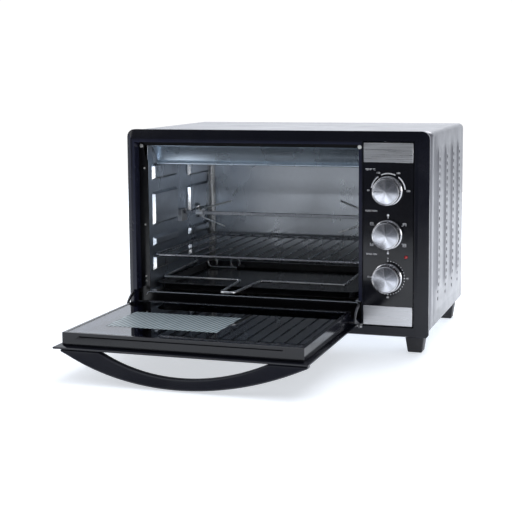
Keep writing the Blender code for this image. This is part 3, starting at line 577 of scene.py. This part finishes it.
def shell_wall(shape, side):
    """A side wall with its ribs and their rows of holes. Returns its top row of vertices."""
    third = HOLE_PITCH / 3
    depths = {SHELL_D[0], SHELL_D[1], FOLD_D - FOLD_HALF, FOLD_D, FOLD_D + FOLD_HALF}
    for centre in RIB_DEPTHS:
        for offset in (RIB_HALF, RIB_HALF - RIB_SLOPE, third * 1.5, third * 0.5):
            depths |= {round(centre - offset, 6), round(centre + offset, 6)}
    depths = sorted(depths)
    levels = {SHELL_BOTTOM, SHELL_TOP - SHELL_CORNER}
    low = HOLE_TOP - HOLE_PITCH * (HOLES - 0.5)
    levels |= {round(low + third * i, 6) for i in range(3 * HOLES + 1)}
    levels |= {RIB_Z[0] - 0.002, RIB_Z[1], RIB_Z[1] - RIB_TAPER / 2}
    levels = sorted(levels)

    def point(d, z, sink=0.0):
        fold = FOLD_DEEP * max(0.0, 1 - abs(d - FOLD_D) / FOLD_HALF)
        return at(side * (SHELL_HALF_WIDTH + rib_height(d, z) - fold - sink), d, z)

    grid = {(d, z): shape.verts.new(point(d, z)) for d in depths for z in levels}
    holes = {}
    for centre in RIB_DEPTHS:
        for i in range(HOLES):
            z = HOLE_TOP - HOLE_PITCH * i
            holes[(round(centre - third * 1.5, 6), round(z - third * 1.5, 6))] = (centre, z)
    skip = set()
    for (d0, z0), (cd, cz) in holes.items():
        column = depths.index(d0)
        row = min(range(len(levels)), key=lambda k: abs(levels[k] - z0))
        skip |= {(column + i, row + j) for i in range(3) for j in range(3)}
        edge = [(i, 0) for i in range(3)] + [(3, j) for j in range(3)]
        edge += [(3 - i, 3) for i in range(3)] + [(0, 3 - j) for j in range(3)]
        outer = [grid[(depths[column + i], levels[row + j])] for i, j in edge]
        lip, inner = [], []
        for i, j in edge:
            a = math.atan2(j - 1.5, i - 1.5)
            for ring, radius, sink in (
                (lip, HOLE_RADIUS * HOLE_LIP, 0.0),
                (inner, HOLE_RADIUS, HOLE_SINK),
            ):
                place = point(cd + radius * math.cos(a), cz + radius * math.sin(a), sink)
                ring.append(shape.verts.new(place))
        for near, far in ((outer, lip), (lip, inner)):
            for k in range(12):
                m = (k + 1) % 12
                shape.faces.new((near[k], near[m], far[m], far[k]))
    for i in range(len(depths) - 1):
        for j in range(len(levels) - 1):
            if (i, j) not in skip:
                keys = ((i, j), (i + 1, j), (i + 1, j + 1), (i, j + 1))
                shape.faces.new([grid[(depths[a], levels[b])] for a, b in keys])
    return [grid[(d, levels[-1])] for d in depths], depths


def shell_mesh():
    """The painted wrap: two pierced side walls and the top between them."""
    shape = bmesh.new()
    right, depths = shell_wall(shape, 1)
    left, _ = shell_wall(shape, -1)
    turn = SHELL_CORNER
    x = SHELL_HALF_WIDTH
    section = arc((x - turn, SHELL_TOP - turn), turn, 0, 90, 8)[1:]
    section += [(0.12, SHELL_TOP), (0.0, SHELL_TOP), (-0.12, SHELL_TOP)]
    section += arc((-x + turn, SHELL_TOP - turn), turn, 90, 180, 8)[:-1]
    rows = [right] + [[shape.verts.new(at(u, d, z)) for d in depths] for u, z in section] + [left]
    for one, two in zip(rows, rows[1:]):
        for i in range(len(depths) - 1):
            shape.faces.new((one[i], one[i + 1], two[i + 1], two[i]))
    return from_bmesh("shell_wrap", shape, 50.0)


shell = piece("shell_wrap", shell_mesh(), "oven_body", "shell_silver", ["shell"])
solid = shell.modifiers.new("Solidify", "SOLIDIFY")
solid.thickness = SHELL_SHEET
solid.offset = -1.0

# Black sheets just inside the pierced side walls: painted shade for the dark inside behind the holes.
for side, x in (("left", (-SHADE_SHEET_X[1], -SHADE_SHEET_X[0])), ("right", SHADE_SHEET_X)):
    shade_sheet = block_mesh(f"side_liner_{side}", x, SHADE_SHEET_D, SHADE_SHEET_Z)
    piece(f"side_liner_{side}", shade_sheet, "oven_body", "shade_black")

restyled("back_cover", "back_panel", width=0.0003)
BACK_D = 0.35435
SCREW_X = 0.248
SCREW_PLACES = [(x, z) for x in (-SCREW_X, 0.0, SCREW_X) for z in (0.050, 0.345)]
SCREW_PLACES += [(-SCREW_X, 0.2), (SCREW_X, 0.2)]
SCREW_HEAD = [
    (0.0, 0.0016),
    (0.0008, 0.0016),
    (0.0010, 0.0010),
    (0.0016, 0.0014),
    (0.0030, 0.0007),
    (0.0034, 0.0),
    (0.0, 0.0),
]
LOUVRES = 9
LOUVRE_PITCH = 0.010
LOUVRE_BOTTOM = 0.235
LOUVRE_X = (0.120, 0.220)
LOUVRE_RADIUS = 0.0028
LOUVRE_SHEET = 0.0006

for i, (x, z) in enumerate(SCREW_PLACES):
    screw = turned_mesh(f"back_screw_{i}", SCREW_HEAD, (0, 1, 0), at(x, BACK_D, z), 24)
    piece(f"back_screw_{i}", screw, "oven_body", "zinc")
for i in range(LOUVRES):
    section = arc((BACK_D, LOUVRE_BOTTOM + LOUVRE_PITCH * i), LOUVRE_RADIUS, 88, -88, 8)
    louvre = strip_mesh(f"back_louvre_{i}", section, LOUVRE_X, LOUVRE_SHEET)
    piece(f"back_louvre_{i}", louvre, "oven_body", "shell_silver")
restyled("base_plate", "base_panel", width=0.0003)
for end in ("front", "back"):
    for side in ("left", "right"):
        restyled(f"foot_{end}_{side}", f"foot_pad_{end}_{side}", width=0.0012, segments=3)
restyled("cord_gland", "cord_inlet", width=0.0004)

# ---------------------------------------------------------------- chamber

CAVITY_LEFT = -0.230
CAVITY_RIGHT = 0.146
CAVITY_BOTTOM = 0.058
CAVITY_TOP = 0.332
CAVITY_BACK = 0.322
HOOD_X = (CAVITY_LEFT + 0.0055, CAVITY_RIGHT - 0.0055)
HOOD_SHEET = 0.0008
HOOD_SECTION = [
    *arc((-0.0070, 0.2720), 0.0680, 60, 27, 24),
    *arc((0.0512, 0.2990), 0.0011, 60, 330, 12),
]
COVE_MIDDLE = 0.0112
COVE_RADIUS = 0.0108
COVE_STEPS = 10
COVE_SHEET = 0.0004
COVE_GAP = 0.0006
LIP_D = 0.0212
LIP_Z = (0.0720, 0.0772)
LIP_ENDS = (-0.2355, 0.1425)
LIP_CORNERS = (-0.2330, 0.1400)
LIP_TURN = 0.003
LIP_RADIUS = 0.0009
RIVET_X = -0.2360
RIVET_D = 0.0204
RIVET_Z = (0.2922, 0.1942, 0.1042, 0.0962)
RIVET_DOME = [(0.0, 0.0009), (0.0009, 0.0008), (0.0015, 0.0004), (0.0017, 0.0), (0.0, 0.0)]

restyled("front_plate", "mouth_frame", width=0.0003)
for side in ("left", "right"):
    restyled(f"cavity_{side}", f"chamber_wall_{side}", width=0.0012, segments=3, angle=12.0)
    restyled(f"tray_rail_{side}", f"tray_runner_{side}", width=0.0005)
for side in ("top", "bottom", "back"):
    restyled(f"cavity_{side}", f"chamber_{side}", width=0.0003)

hood = strip_mesh("mouth_deflector", HOOD_SECTION, HOOD_X, HOOD_SHEET)
piece("mouth_deflector", hood, "oven_body", "hood", ["deflector"])


def cove_mesh(name, x, inward):
    """A rounded corner between a side wall and the back of the chamber."""
    shape = bmesh.new()
    turns = [math.radians(90 * i / COVE_STEPS) for i in range(COVE_STEPS + 1)]
    corner_d = CAVITY_BACK - COVE_MIDDLE
    outline = []
    for a in turns:
        across = inward * (COVE_MIDDLE - COVE_RADIUS * math.cos(a))
        outline.append((x + across, corner_d + COVE_RADIUS * math.sin(a)))
    low, high = [
        [shape.verts.new(at(u, d, z)) for u, d in outline]
        for z in (CAVITY_BOTTOM + COVE_GAP, CAVITY_TOP - COVE_GAP)
    ]
    for i in range(COVE_STEPS):
        shape.faces.new((low[i], low[i + 1], high[i + 1], high[i]))
    bmesh.ops.solidify(shape, geom=shape.faces[:], thickness=COVE_SHEET)
    return from_bmesh(name, shape, 50.0)


for side, x, inward in (("left", CAVITY_LEFT, 1), ("right", CAVITY_RIGHT, -1)):
    cove = cove_mesh(f"chamber_cove_{side}", x, inward)
    piece(f"chamber_cove_{side}", cove, "oven_body", "galvanised")

lip_points = [
    at(LIP_ENDS[0], LIP_D, LIP_Z[0]),
    at(LIP_CORNERS[0], LIP_D, LIP_Z[1]),
    at(LIP_CORNERS[1], LIP_D, LIP_Z[1]),
    at(LIP_ENDS[1], LIP_D, LIP_Z[0]),
]
lip = tube_mesh("mouth_lip", [rounded_route(lip_points, LIP_TURN)], LIP_RADIUS)
piece("mouth_lip", lip, "oven_body", "galvanised")
for i, z in enumerate(RIVET_Z):
    rivet = turned_mesh(f"mouth_rivet_{i}", RIVET_DOME, (0, -1, 0), at(RIVET_X, RIVET_D, z), 20)
    piece(f"mouth_rivet_{i}", rivet, "oven_body", "buffer_white")
for level in ("upper", "lower"):
    for row in ("front", "back"):
        restyled(f"heater_{level}_{row}", f"heater_tube_{level}_{row}", width=0.0)
for side in ("left", "right"):
    restyled(f"buffer_{side}", f"door_bumper_{side}", width=0.0)
    restyled(f"hinge_bracket_{side}", f"hinge_knuckle_{side}", width=0.0002)
    restyled(f"door_stay_{side}", f"hinge_leaf_{side}", "dark_zinc", width=0.0003)

# ---------------------------------------------------------------- controls

restyled("control_panel", "panel_front", width=0.0005, segments=3)
restyled("badge_plate", "badge_blank", width=0.0)
restyled("trim_plate", "trim_blank", width=0.0)
restyled("indicator_lamp", "lamp_lens", width=0.0)

KNOB_X = 0.1945
KNOB_Z = {"thermostat": 0.2650, "function": 0.1945, "timer": 0.1245}
# Where each pointer points, with 0 degrees at 3 o'clock and 90 at 12
KNOB_POINTS = {"thermostat": 180.0, "function": 90.0, "timer": 90.0}
KNOB_TIP = 0.021
PRINT_D = 0.0008
PRINT_THICK = 0.00012
ICON_UNIT = 0.0016
ARC_RADIUS = 0.0275
ARC_STROKE = 0.0019
ARC_SPANS = ((172, 126), (115, 65), (53, 5))
TITLES = (
    ("TEMP \u00b0C", 0.1655, 0.2985, 0.0044),
    ("FUNCTION", 0.1670, 0.2320, 0.0038),
    ("TIMER MIN", 0.1675, 0.1618, 0.0038),
)
THERMOSTAT_NUMBERS = (("60", 180), ("120", 120), ("180", 60), ("250", 0))
THERMOSTAT_NUMBERS_OUT = 0.0325
THERMOSTAT_NUMBERS_SIZE = 0.0042
FUNCTION_MARKS = (  # the angle, the pictogram, and how far out it and its dot are
    (90, "lamp", 0.0300, 0.0262),
    (148, "top base", 0.0315, 0.0270),
    (32, "top", 0.0315, 0.0270),
    (212, "base", 0.0315, 0.0270),
    (328, "top base", 0.0315, 0.0270),
    (270, "stop", 0.0300, 0.0262),
)
FUNCTION_DOT = 0.0005
TIMER_DOTS = 28
TIMER_DOTS_OUT = 0.0272
TIMER_DOT_LARGE = 0.0010
TIMER_DOT_SMALL = 0.0007
TIMER_NUMBERS_SIZE = 0.0038
TIMER_NUMBERS = (("0", 90, 0.0312), ("30", 0, 0.0318), ("60", 270, 0.0318), ("90", 180, 0.0318))
KNOB_PROFILE = [
    (0.0, KNOB_TIP - 0.0013),
    (0.0199, KNOB_TIP - 0.0013),
    (0.0201, KNOB_TIP - 0.0002),
    (0.0204, KNOB_TIP),
    (0.0208, KNOB_TIP),
    (0.0217, KNOB_TIP - 0.0005),
    (0.0222, KNOB_TIP - 0.0016),
    (0.0225, 0.0052),
    (0.0222, 0.0046),
    (0.0224, 0.0041),
    (0.0235, 0.0034),
    (0.0235, 0.0011),
    (0.0232, 0.0008),
    (0.0034, 0.0008),
    (0.0034, -0.0105),
    (0.0, -0.0105),
]


FACE_D = -KNOB_TIP + 0.0012 - 0.0003
FACE_PROFILE = [(0.0, 0.0009), (0.0188, 0.0009), (0.0194, 0.0006), (0.0196, 0.0001), (0.0, 0.0)]
POINTER_OUTLINE = ((0.0045, -0.0003), (0.0186, -0.0005), (0.0186, 0.0005), (0.0045, 0.0003))


def to_face(u, v, w):
    """A point of a pointer on a knob's face from across, up and out."""
    return at(u, FACE_D - 0.0009 - w, v)


def to_panel(u, v, w):
    """A point of the panel's print from across, up and out."""
    return at(u, PRINT_D - 0.0001 - w, v)


def polar(name, radius, degrees):
    """A point round a knob, with 0 degrees at 3 o'clock and 90 at 12."""
    a = math.radians(degrees)
    return KNOB_X + radius * math.cos(a), KNOB_Z[name] + radius * math.sin(a)


def dot(u, v, radius, count=10):
    return arc((u, v), radius, 0, 360 - 360 / count, count - 1)


def bar(u0, u1, v0, v1):
    return [(u0, v0), (u1, v0), (u1, v1), (u0, v1)]


def band(name, radius, stroke, start, end):
    """An arc-shaped stroke round a knob."""
    centre = (KNOB_X, KNOB_Z[name])
    return arc(centre, radius + stroke / 2, start, end, 20) + arc(centre, radius - stroke / 2, end, start, 20)


def lettering(text, u, v, size):
    """Generic words and numbers as flat shapes centred on a point of the panel."""
    data = bpy.data.curves.new("label", "FONT")
    data.body = text
    data.size = size
    data.align_x = "CENTER"
    data.align_y = "CENTER"
    data.extrude = 0.00006
    data.resolution_u = 3
    mesh = curve_mesh(data)
    for vert in mesh.vertices:
        vert.co = to_panel(u + vert.co.x, v + vert.co.y, vert.co.z)
    return mesh


def icon(u, v, kind):
    """A small pictogram: a lamp, a stop mark, or a box with heat lines above, below or both."""
    unit = ICON_UNIT
    if kind == "lamp":
        base = bar(u - 0.5 * unit, u + 0.5 * unit, v - 1.6 * unit, v - 0.8 * unit)
        return [dot(u, v + 0.6 * unit, 1.2 * unit, 14), base]
    if kind == "stop":
        stem = bar(u - 0.4 * unit, u + 0.4 * unit, v + 0.8 * unit, v + 1.6 * unit)
        return [bar(u - unit, u + unit, v - 1.1 * unit, v + 0.5 * unit), stem]
    wide, tall, line = 1.6 * unit, 1.5 * unit, 0.35 * unit
    rings = [
        bar(u - wide, u - wide + line, v - tall, v + tall),
        bar(u + wide - line, u + wide, v - tall, v + tall),
        bar(u - unit, u + unit, v - line / 2, v + line / 2),
    ]
    if "top" in kind:
        rings.append(bar(u - unit, u + unit, v + tall - line, v + tall))
    if "base" in kind:
        rings.append(bar(u - unit, u + unit, v - tall, v - tall + line))
    return rings


def panel_prints():
    """All marks of the control panel in one thin piece."""
    rings = [band("thermostat", ARC_RADIUS, ARC_STROKE, *span) for span in ARC_SPANS]
    words = list(TITLES)
    for text, degrees in THERMOSTAT_NUMBERS:
        place = polar("thermostat", THERMOSTAT_NUMBERS_OUT, degrees)
        words.append((text, *place, THERMOSTAT_NUMBERS_SIZE))
    for degrees, kind, icon_radius, dot_radius in FUNCTION_MARKS:
        rings += icon(*polar("function", icon_radius, degrees), kind)
        rings.append(dot(*polar("function", dot_radius, degrees), FUNCTION_DOT))
    for i in range(TIMER_DOTS):
        size = TIMER_DOT_LARGE if i % 9 == 0 else TIMER_DOT_SMALL
        rings.append(dot(*polar("timer", TIMER_DOTS_OUT, 90 - i * 10), size))
    for text, degrees, radius in TIMER_NUMBERS:
        words.append((text, *polar("timer", radius, degrees), TIMER_NUMBERS_SIZE))
    meshes = [flat_mesh("marks", [ring], PRINT_THICK, to_panel) for ring in rings]
    meshes += [lettering(*word) for word in words]
    return joined_mesh("panel_marks", meshes)


piece("panel_marks", panel_prints(), "oven_body", "print")

for name, z in KNOB_Z.items():
    centre = at(KNOB_X, 0.0, z)
    restyled(f"{name}_control", f"{name}_switch", width=0.0)
    dial = turned_mesh(f"{name}_dial", KNOB_PROFILE, (0, -1, 0), centre, 96, 30.0)
    piece(f"{name}_dial", dial, name, "knob_metal", [f"{name}_knob"])
    disc = turned_mesh(f"{name}_face", FACE_PROFILE, (0, -1, 0), at(KNOB_X, FACE_D, z), 96, 30.0)
    piece(f"{name}_face", disc, name, "spun", [f"{name}_disc"])
    a = math.radians(KNOB_POINTS[name])
    along, across = (math.cos(a), math.sin(a)), (-math.sin(a), math.cos(a))
    ring = [
        (KNOB_X + along[0] * r + across[0] * h, z + along[1] * r + across[1] * h)
        for r, h in POINTER_OUTLINE
    ]
    # A dark line on each knob's face: painted shade standing in for a pointer groove.
    line = flat_mesh(f"{name}_pointer", [ring], 0.0002, to_face)
    piece(f"{name}_pointer", line, name, "shade_black")

# ---------------------------------------------------------------- rotisserie

restyled("spit_motor", "motor_case", width=0.001, segments=2)
restyled("drive_socket", "spit_socket", width=0.0004)
restyled("spit_rod", "spit_bar", "spit_steel", width=0.0004)
restyled("spit_bearing", "spit_cradle", width=0.0005)
for side in ("left", "right"):
    restyled(f"fork_{side}", f"meat_fork_{side}", width=0.0, smooth=50.0)
    restyled(f"thumbscrew_{side}", f"fork_screw_{side}", "chrome_wire", width=0.0)

RACK_Z = 0.1410
RACK_D = (0.033, 0.304)
RACK_X = (CAVITY_LEFT + 0.0040, CAVITY_RIGHT - 0.0040)
RACK_PITCH = 0.0237
RACK_TURN = 0.012
RACK_WIRE = 0.0022
RACK_BAR = 0.0015
# Each bar turns down over the front wire: depths from that wire or the back one, and heights
BAR_FRONT = ((-0.0022, -0.0004), (-0.0014, 0.0012), (0.0008, 0.0021), (0.0060, 0.0022))
BAR_BACK = ((-0.0060, 0.0022), (0.0010, 0.0018))


def rack_mesh():
    """A wire frame with straight bars laid on it."""
    loop = []
    for x, d, start in (
        (RACK_X[1] - RACK_TURN, RACK_D[0] + RACK_TURN, -90),
        (RACK_X[1] - RACK_TURN, RACK_D[1] - RACK_TURN, 0),
        (RACK_X[0] + RACK_TURN, RACK_D[1] - RACK_TURN, 90),
        (RACK_X[0] + RACK_TURN, RACK_D[0] + RACK_TURN, 180),
    ):
        loop += [at(px, pd, RACK_Z) for px, pd in arc((x, d), RACK_TURN, start, start + 90, 10)]
    frame_wire = tube_mesh("rack_frame", [loop], RACK_WIRE, cyclic=True)
    middle = (RACK_X[0] + RACK_X[1]) / 2
    bars = []
    for i in range(-7, 8):
        x = middle + i * RACK_PITCH
        route = [at(x, RACK_D[0] + d, RACK_Z + z) for d, z in BAR_FRONT]
        bars.append(route + [at(x, RACK_D[1] + d, RACK_Z + z) for d, z in BAR_BACK])
    return joined_mesh("wire_rack", [frame_wire, tube_mesh("rack_bars", bars, RACK_BAR)])


piece("wire_rack", rack_mesh(), "rack_body", "rack_wire", ["rack"])
restyled("tray", "baking_tray", width=0.0006, segments=3, angle=15.0)

TOOL_Z = 0.0950
TOOL_X = (-0.2265, 0.1040)
GRIP_X = (-0.0815, -0.0465)
GRIP_END = (-0.0760, -0.0530)
BAR_D = 0.0760
GRIP_D = -0.0430
TOOL_BACK = 0.2400
TOOL_RISE = 0.004
TOOL_TURN = 0.008
TOOL_WIRE = 0.0022
tool_points = [
    at(TOOL_X[0], TOOL_BACK, TOOL_Z + TOOL_RISE),
    at(TOOL_X[0], BAR_D, TOOL_Z),
    at(GRIP_X[0], BAR_D, TOOL_Z),
    at(GRIP_END[0], GRIP_D, TOOL_Z),
    at(GRIP_END[1], GRIP_D, TOOL_Z),
    at(GRIP_X[1], BAR_D, TOOL_Z),
    at(TOOL_X[1], BAR_D, TOOL_Z),
    at(TOOL_X[1], TOOL_BACK, TOOL_Z + TOOL_RISE),
]
tool = tube_mesh("tray_lifter", [rounded_route(tool_points, TOOL_TURN)], TOOL_WIRE, 6)
piece("tray_lifter", tool, "lifting_handle_body", "chrome_wire", ["lifting_handle"])

HOOK_D = 0.2680
HOOK_Z = 0.0834
HOOK_RADIUS = 0.0090
HOOK_WIRE = 0.0016
HOOK_X = (-0.2060, -0.1600)
HOOK_ENDS = (-0.2090, -0.1570)
routes = [[at(x, HOOK_D, HOOK_Z) for x in HOOK_ENDS]]
for x in HOOK_X:
    ring = arc((x, HOOK_Z + HOOK_RADIUS), HOOK_RADIUS, -90, -390, 40)
    routes.append([at(u, HOOK_D, v) for u, v in ring])
hooks = tube_mesh("spit_hook_tool", routes, HOOK_WIRE, 6)
piece("spit_hook_tool", hooks, "tray_body", "chrome_wire", ["spit_lifter"])

# ---------------------------------------------------------------- door

restyled("door_frame", "door_inner_frame", width=0.0007, segments=3)
restyled("door_plate", "door_outer_panel", width=0.0)
restyled("door_glass", "door_pane", width=0.0005, segments=2)

HANDLE_OUTER = (-0.0450, 0.1931, 0.0455)
HANDLE_INNER = (-0.0430, 0.1275, 0.0288)
HANDLE_HALF = 0.1918
HANDLE_CHORD = (-0.3005, 0.0432)
HANDLE_TOP = 0.0024
HANDLE_DEEP = 0.0130
HANDLE_LEAN = math.radians(24)
HANDLE_SOFT = 0.0034
HANDLE_STATIONS = 120


def bow_drop(x, middle, half_width, drop):
    """How low a circular bow hangs at x, as a negative number."""
    radius = (half_width**2 + drop**2) / (2 * drop)
    return radius - drop - math.sqrt(radius**2 - (x - middle) ** 2)


def handle_mesh():
    """A bow-shaped grip that leans forward, with soft corners and level upper and lower faces."""
    shape = bmesh.new()
    chord_d, chord_z = HANDLE_CHORD
    sections = []
    for i in range(HANDLE_STATIONS + 1):
        x = HANDLE_OUTER[0] - HANDLE_HALF + 2 * HANDLE_HALF * i / HANDLE_STATIONS
        low, high = bow_drop(x, *HANDLE_OUTER), HANDLE_TOP
        if abs(x - HANDLE_INNER[0]) < HANDLE_INNER[1] * 1.1:
            high = min(high, bow_drop(x, *HANDLE_INNER))
        soft = min(HANDLE_SOFT, (high - low) * 0.45)
        ring = arc((soft, low + soft), soft, 180, 270, 5)
        ring += arc((HANDLE_DEEP - soft, low + soft), soft, 270, 360, 5)
        ring += arc((HANDLE_DEEP - soft, high - soft), soft, 0, 90, 5)
        ring += arc((soft, high - soft), soft, 90, 180, 5)
        section = []
        for across, v in ring:
            d = chord_d + v * math.sin(HANDLE_LEAN) + across
            section.append(shape.verts.new(at(x, d, chord_z + v * math.cos(HANDLE_LEAN))))
        sections.append(section)
    for one, two in zip(sections, sections[1:]):
        for k in range(len(one)):
            m = (k + 1) % len(one)
            shape.faces.new((one[k], one[m], two[m], two[k]))
    shape.faces.new(sections[0])
    shape.faces.new(sections[-1])
    return from_bmesh("door_bow", shape, 45.0)


piece("door_bow", handle_mesh(), "door", "handle_black", ["door_handle"])

GLASS_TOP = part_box("door_glass")[1].z
FILM_X = (-0.1970, -0.0160)
FILM_D = (-0.2250, -0.1120)
FILM_Z = (GLASS_TOP + 0.00003, GLASS_TOP + 0.00018)
film = block_mesh("glass_film", FILM_X, FILM_D, FILM_Z)
piece("glass_film", film, "door", "film")

# ---------------------------------------------------------------- camera, floor and lights

YAW, PITCH, ROLL = 0.3233, 0.1184, -0.0081
EYE = (0.6071, FRONT_Y - 1.8945, 0.4572)
LENS = 85.52
SHIFT_Y = -0.0801


def add_camera():
    """The photograph's view of the object."""
    forward = Vector((-math.sin(YAW) * math.cos(PITCH), math.cos(YAW) * math.cos(PITCH), -math.sin(PITCH)))
    right = Vector((math.cos(YAW), math.sin(YAW), 0))
    up = right.cross(forward)
    across = right * math.cos(ROLL) + up * math.sin(ROLL)
    upward = -right * math.sin(ROLL) + up * math.cos(ROLL)
    data = bpy.data.cameras.new("camera")
    data.lens = LENS
    data.sensor_width = 36.0
    data.shift_y = SHIFT_Y
    data.clip_start = 0.05
    data.clip_end = 60.0
    made = bpy.data.objects.new("camera", data)
    turn = Matrix((across, upward, -forward)).transposed().to_4x4()
    turn.translation = EYE
    made.matrix_world = turn
    bpy.context.scene.collection.objects.link(made)
    bpy.context.scene.camera = made


FLOOR_FRONT = -1.3
FLOOR_BACK = 2.6
FLOOR_HALF_WIDTH = 2.2


def add_floor():
    """A wide pale floor."""
    shape = bmesh.new()
    middle = Matrix.Translation((0.0, (FLOOR_BACK + FLOOR_FRONT) / 2, 0.0))
    size = Matrix.Diagonal((FLOOR_HALF_WIDTH * 2, FLOOR_BACK - FLOOR_FRONT, 1.0, 1.0))
    bmesh.ops.create_grid(shape, x_segments=8, y_segments=8, size=0.5, matrix=middle @ size)
    floor = bpy.data.objects.new("studio_floor", from_bmesh("studio_floor", shape))
    g = Graph("pale_floor")
    g.colour(g.blend(g.spread(g.noise(3.0), 0, 1), (0.64, 0.665, 0.70), (0.66, 0.685, 0.72)))
    g.rough(g.spread(g.noise(8.0), 0.55, 0.70))
    g.set(Emission_Color=(0.93, 0.96, 1.0, 1.0), Emission_Strength=0.60, Specular_IOR_Level=0.2)
    floor.data.materials.append(g.mat)
    bpy.context.scene.collection.objects.link(floor)


LIGHTS = (  # name, position, target, size in metres and power in watts
    ("top_softbox", (0.1, 1.7, 2.4), (0.0, 0.5, 0.0), (2.8, 2.4), 85.0),
    ("left_softbox", (-2.0, -1.3, 1.2), (0.0, 0.0, 0.2), (0.8, 1.6), 8.0),
    ("right_softbox", (2.3, -1.4, 0.45), (0.0, 0.1, 0.2), (0.9, 0.8), 11.0),
    ("side_softbox", (2.4, -0.1, 0.55), (0.2, 0.0, 0.2), (0.35, 1.1), 4.5),
)


def add_light(name, position, target, size, power):
    """A soft rectangular light aimed at a point."""
    data = bpy.data.lights.new(name, "AREA")
    data.shape = "RECTANGLE"
    data.size, data.size_y = size
    data.energy = power
    made = bpy.data.objects.new(name, data)
    made.location = position
    made.rotation_mode = "QUATERNION"
    made.rotation_quaternion = (Vector(target) - Vector(position)).to_track_quat("-Z", "Y")
    bpy.context.scene.collection.objects.link(made)


# Strength of the fill light by direction: axis, start and end of the fade, and the two levels
FILL_FADES = (("Y", -0.75, 0.10, 0.13, 1.0), ("X", 0.2, 0.8, 1.0, 0.5))
FILL_COLOUR = (0.89, 0.93, 1.0, 1.0)
BACKDROP_STRENGTH = 1.05


def add_world():
    """A white backdrop that lights the object softly."""
    world = bpy.data.worlds.new("studio")
    world.use_nodes = True
    tree = world.node_tree
    tree.nodes.clear()
    out = tree.nodes.new("ShaderNodeOutputWorld")
    seen = tree.nodes.new("ShaderNodeBackground")
    seen.inputs["Color"].default_value = (1.0, 1.0, 1.0, 1.0)
    seen.inputs["Strength"].default_value = BACKDROP_STRENGTH
    fill = tree.nodes.new("ShaderNodeBackground")
    fill.inputs["Color"].default_value = FILL_COLOUR
    direction = tree.nodes.new("ShaderNodeTexCoord")
    split = tree.nodes.new("ShaderNodeSeparateXYZ")
    tree.links.new(direction.outputs["Generated"], split.inputs[0])
    levels = []
    for axis, start, end, low, high in FILL_FADES:
        fade = tree.nodes.new("ShaderNodeMapRange")
        fade.interpolation_type = "SMOOTHSTEP"
        tree.links.new(split.outputs[axis], fade.inputs["Value"])
        for key, number in (("From Min", start), ("From Max", end), ("To Min", low), ("To Max", high)):
            fade.inputs[key].default_value = number
        levels.append(fade.outputs["Result"])
    product = tree.nodes.new("ShaderNodeMath")
    product.operation = "MULTIPLY"
    tree.links.new(levels[0], product.inputs[0])
    tree.links.new(levels[1], product.inputs[1])
    tree.links.new(product.outputs[0], fill.inputs["Strength"])
    path = tree.nodes.new("ShaderNodeLightPath")
    mix = tree.nodes.new("ShaderNodeMixShader")
    tree.links.new(path.outputs["Is Camera Ray"], mix.inputs[0])
    tree.links.new(fill.outputs[0], mix.inputs[1])
    tree.links.new(seen.outputs[0], mix.inputs[2])
    tree.links.new(mix.outputs[0], out.inputs["Surface"])
    bpy.context.scene.world = world


add_camera()
add_floor()
for light in LIGHTS:
    add_light(*light)
add_world()
bpy.context.scene.view_settings.view_transform = "Standard"
bpy.context.scene.view_settings.look = "None"
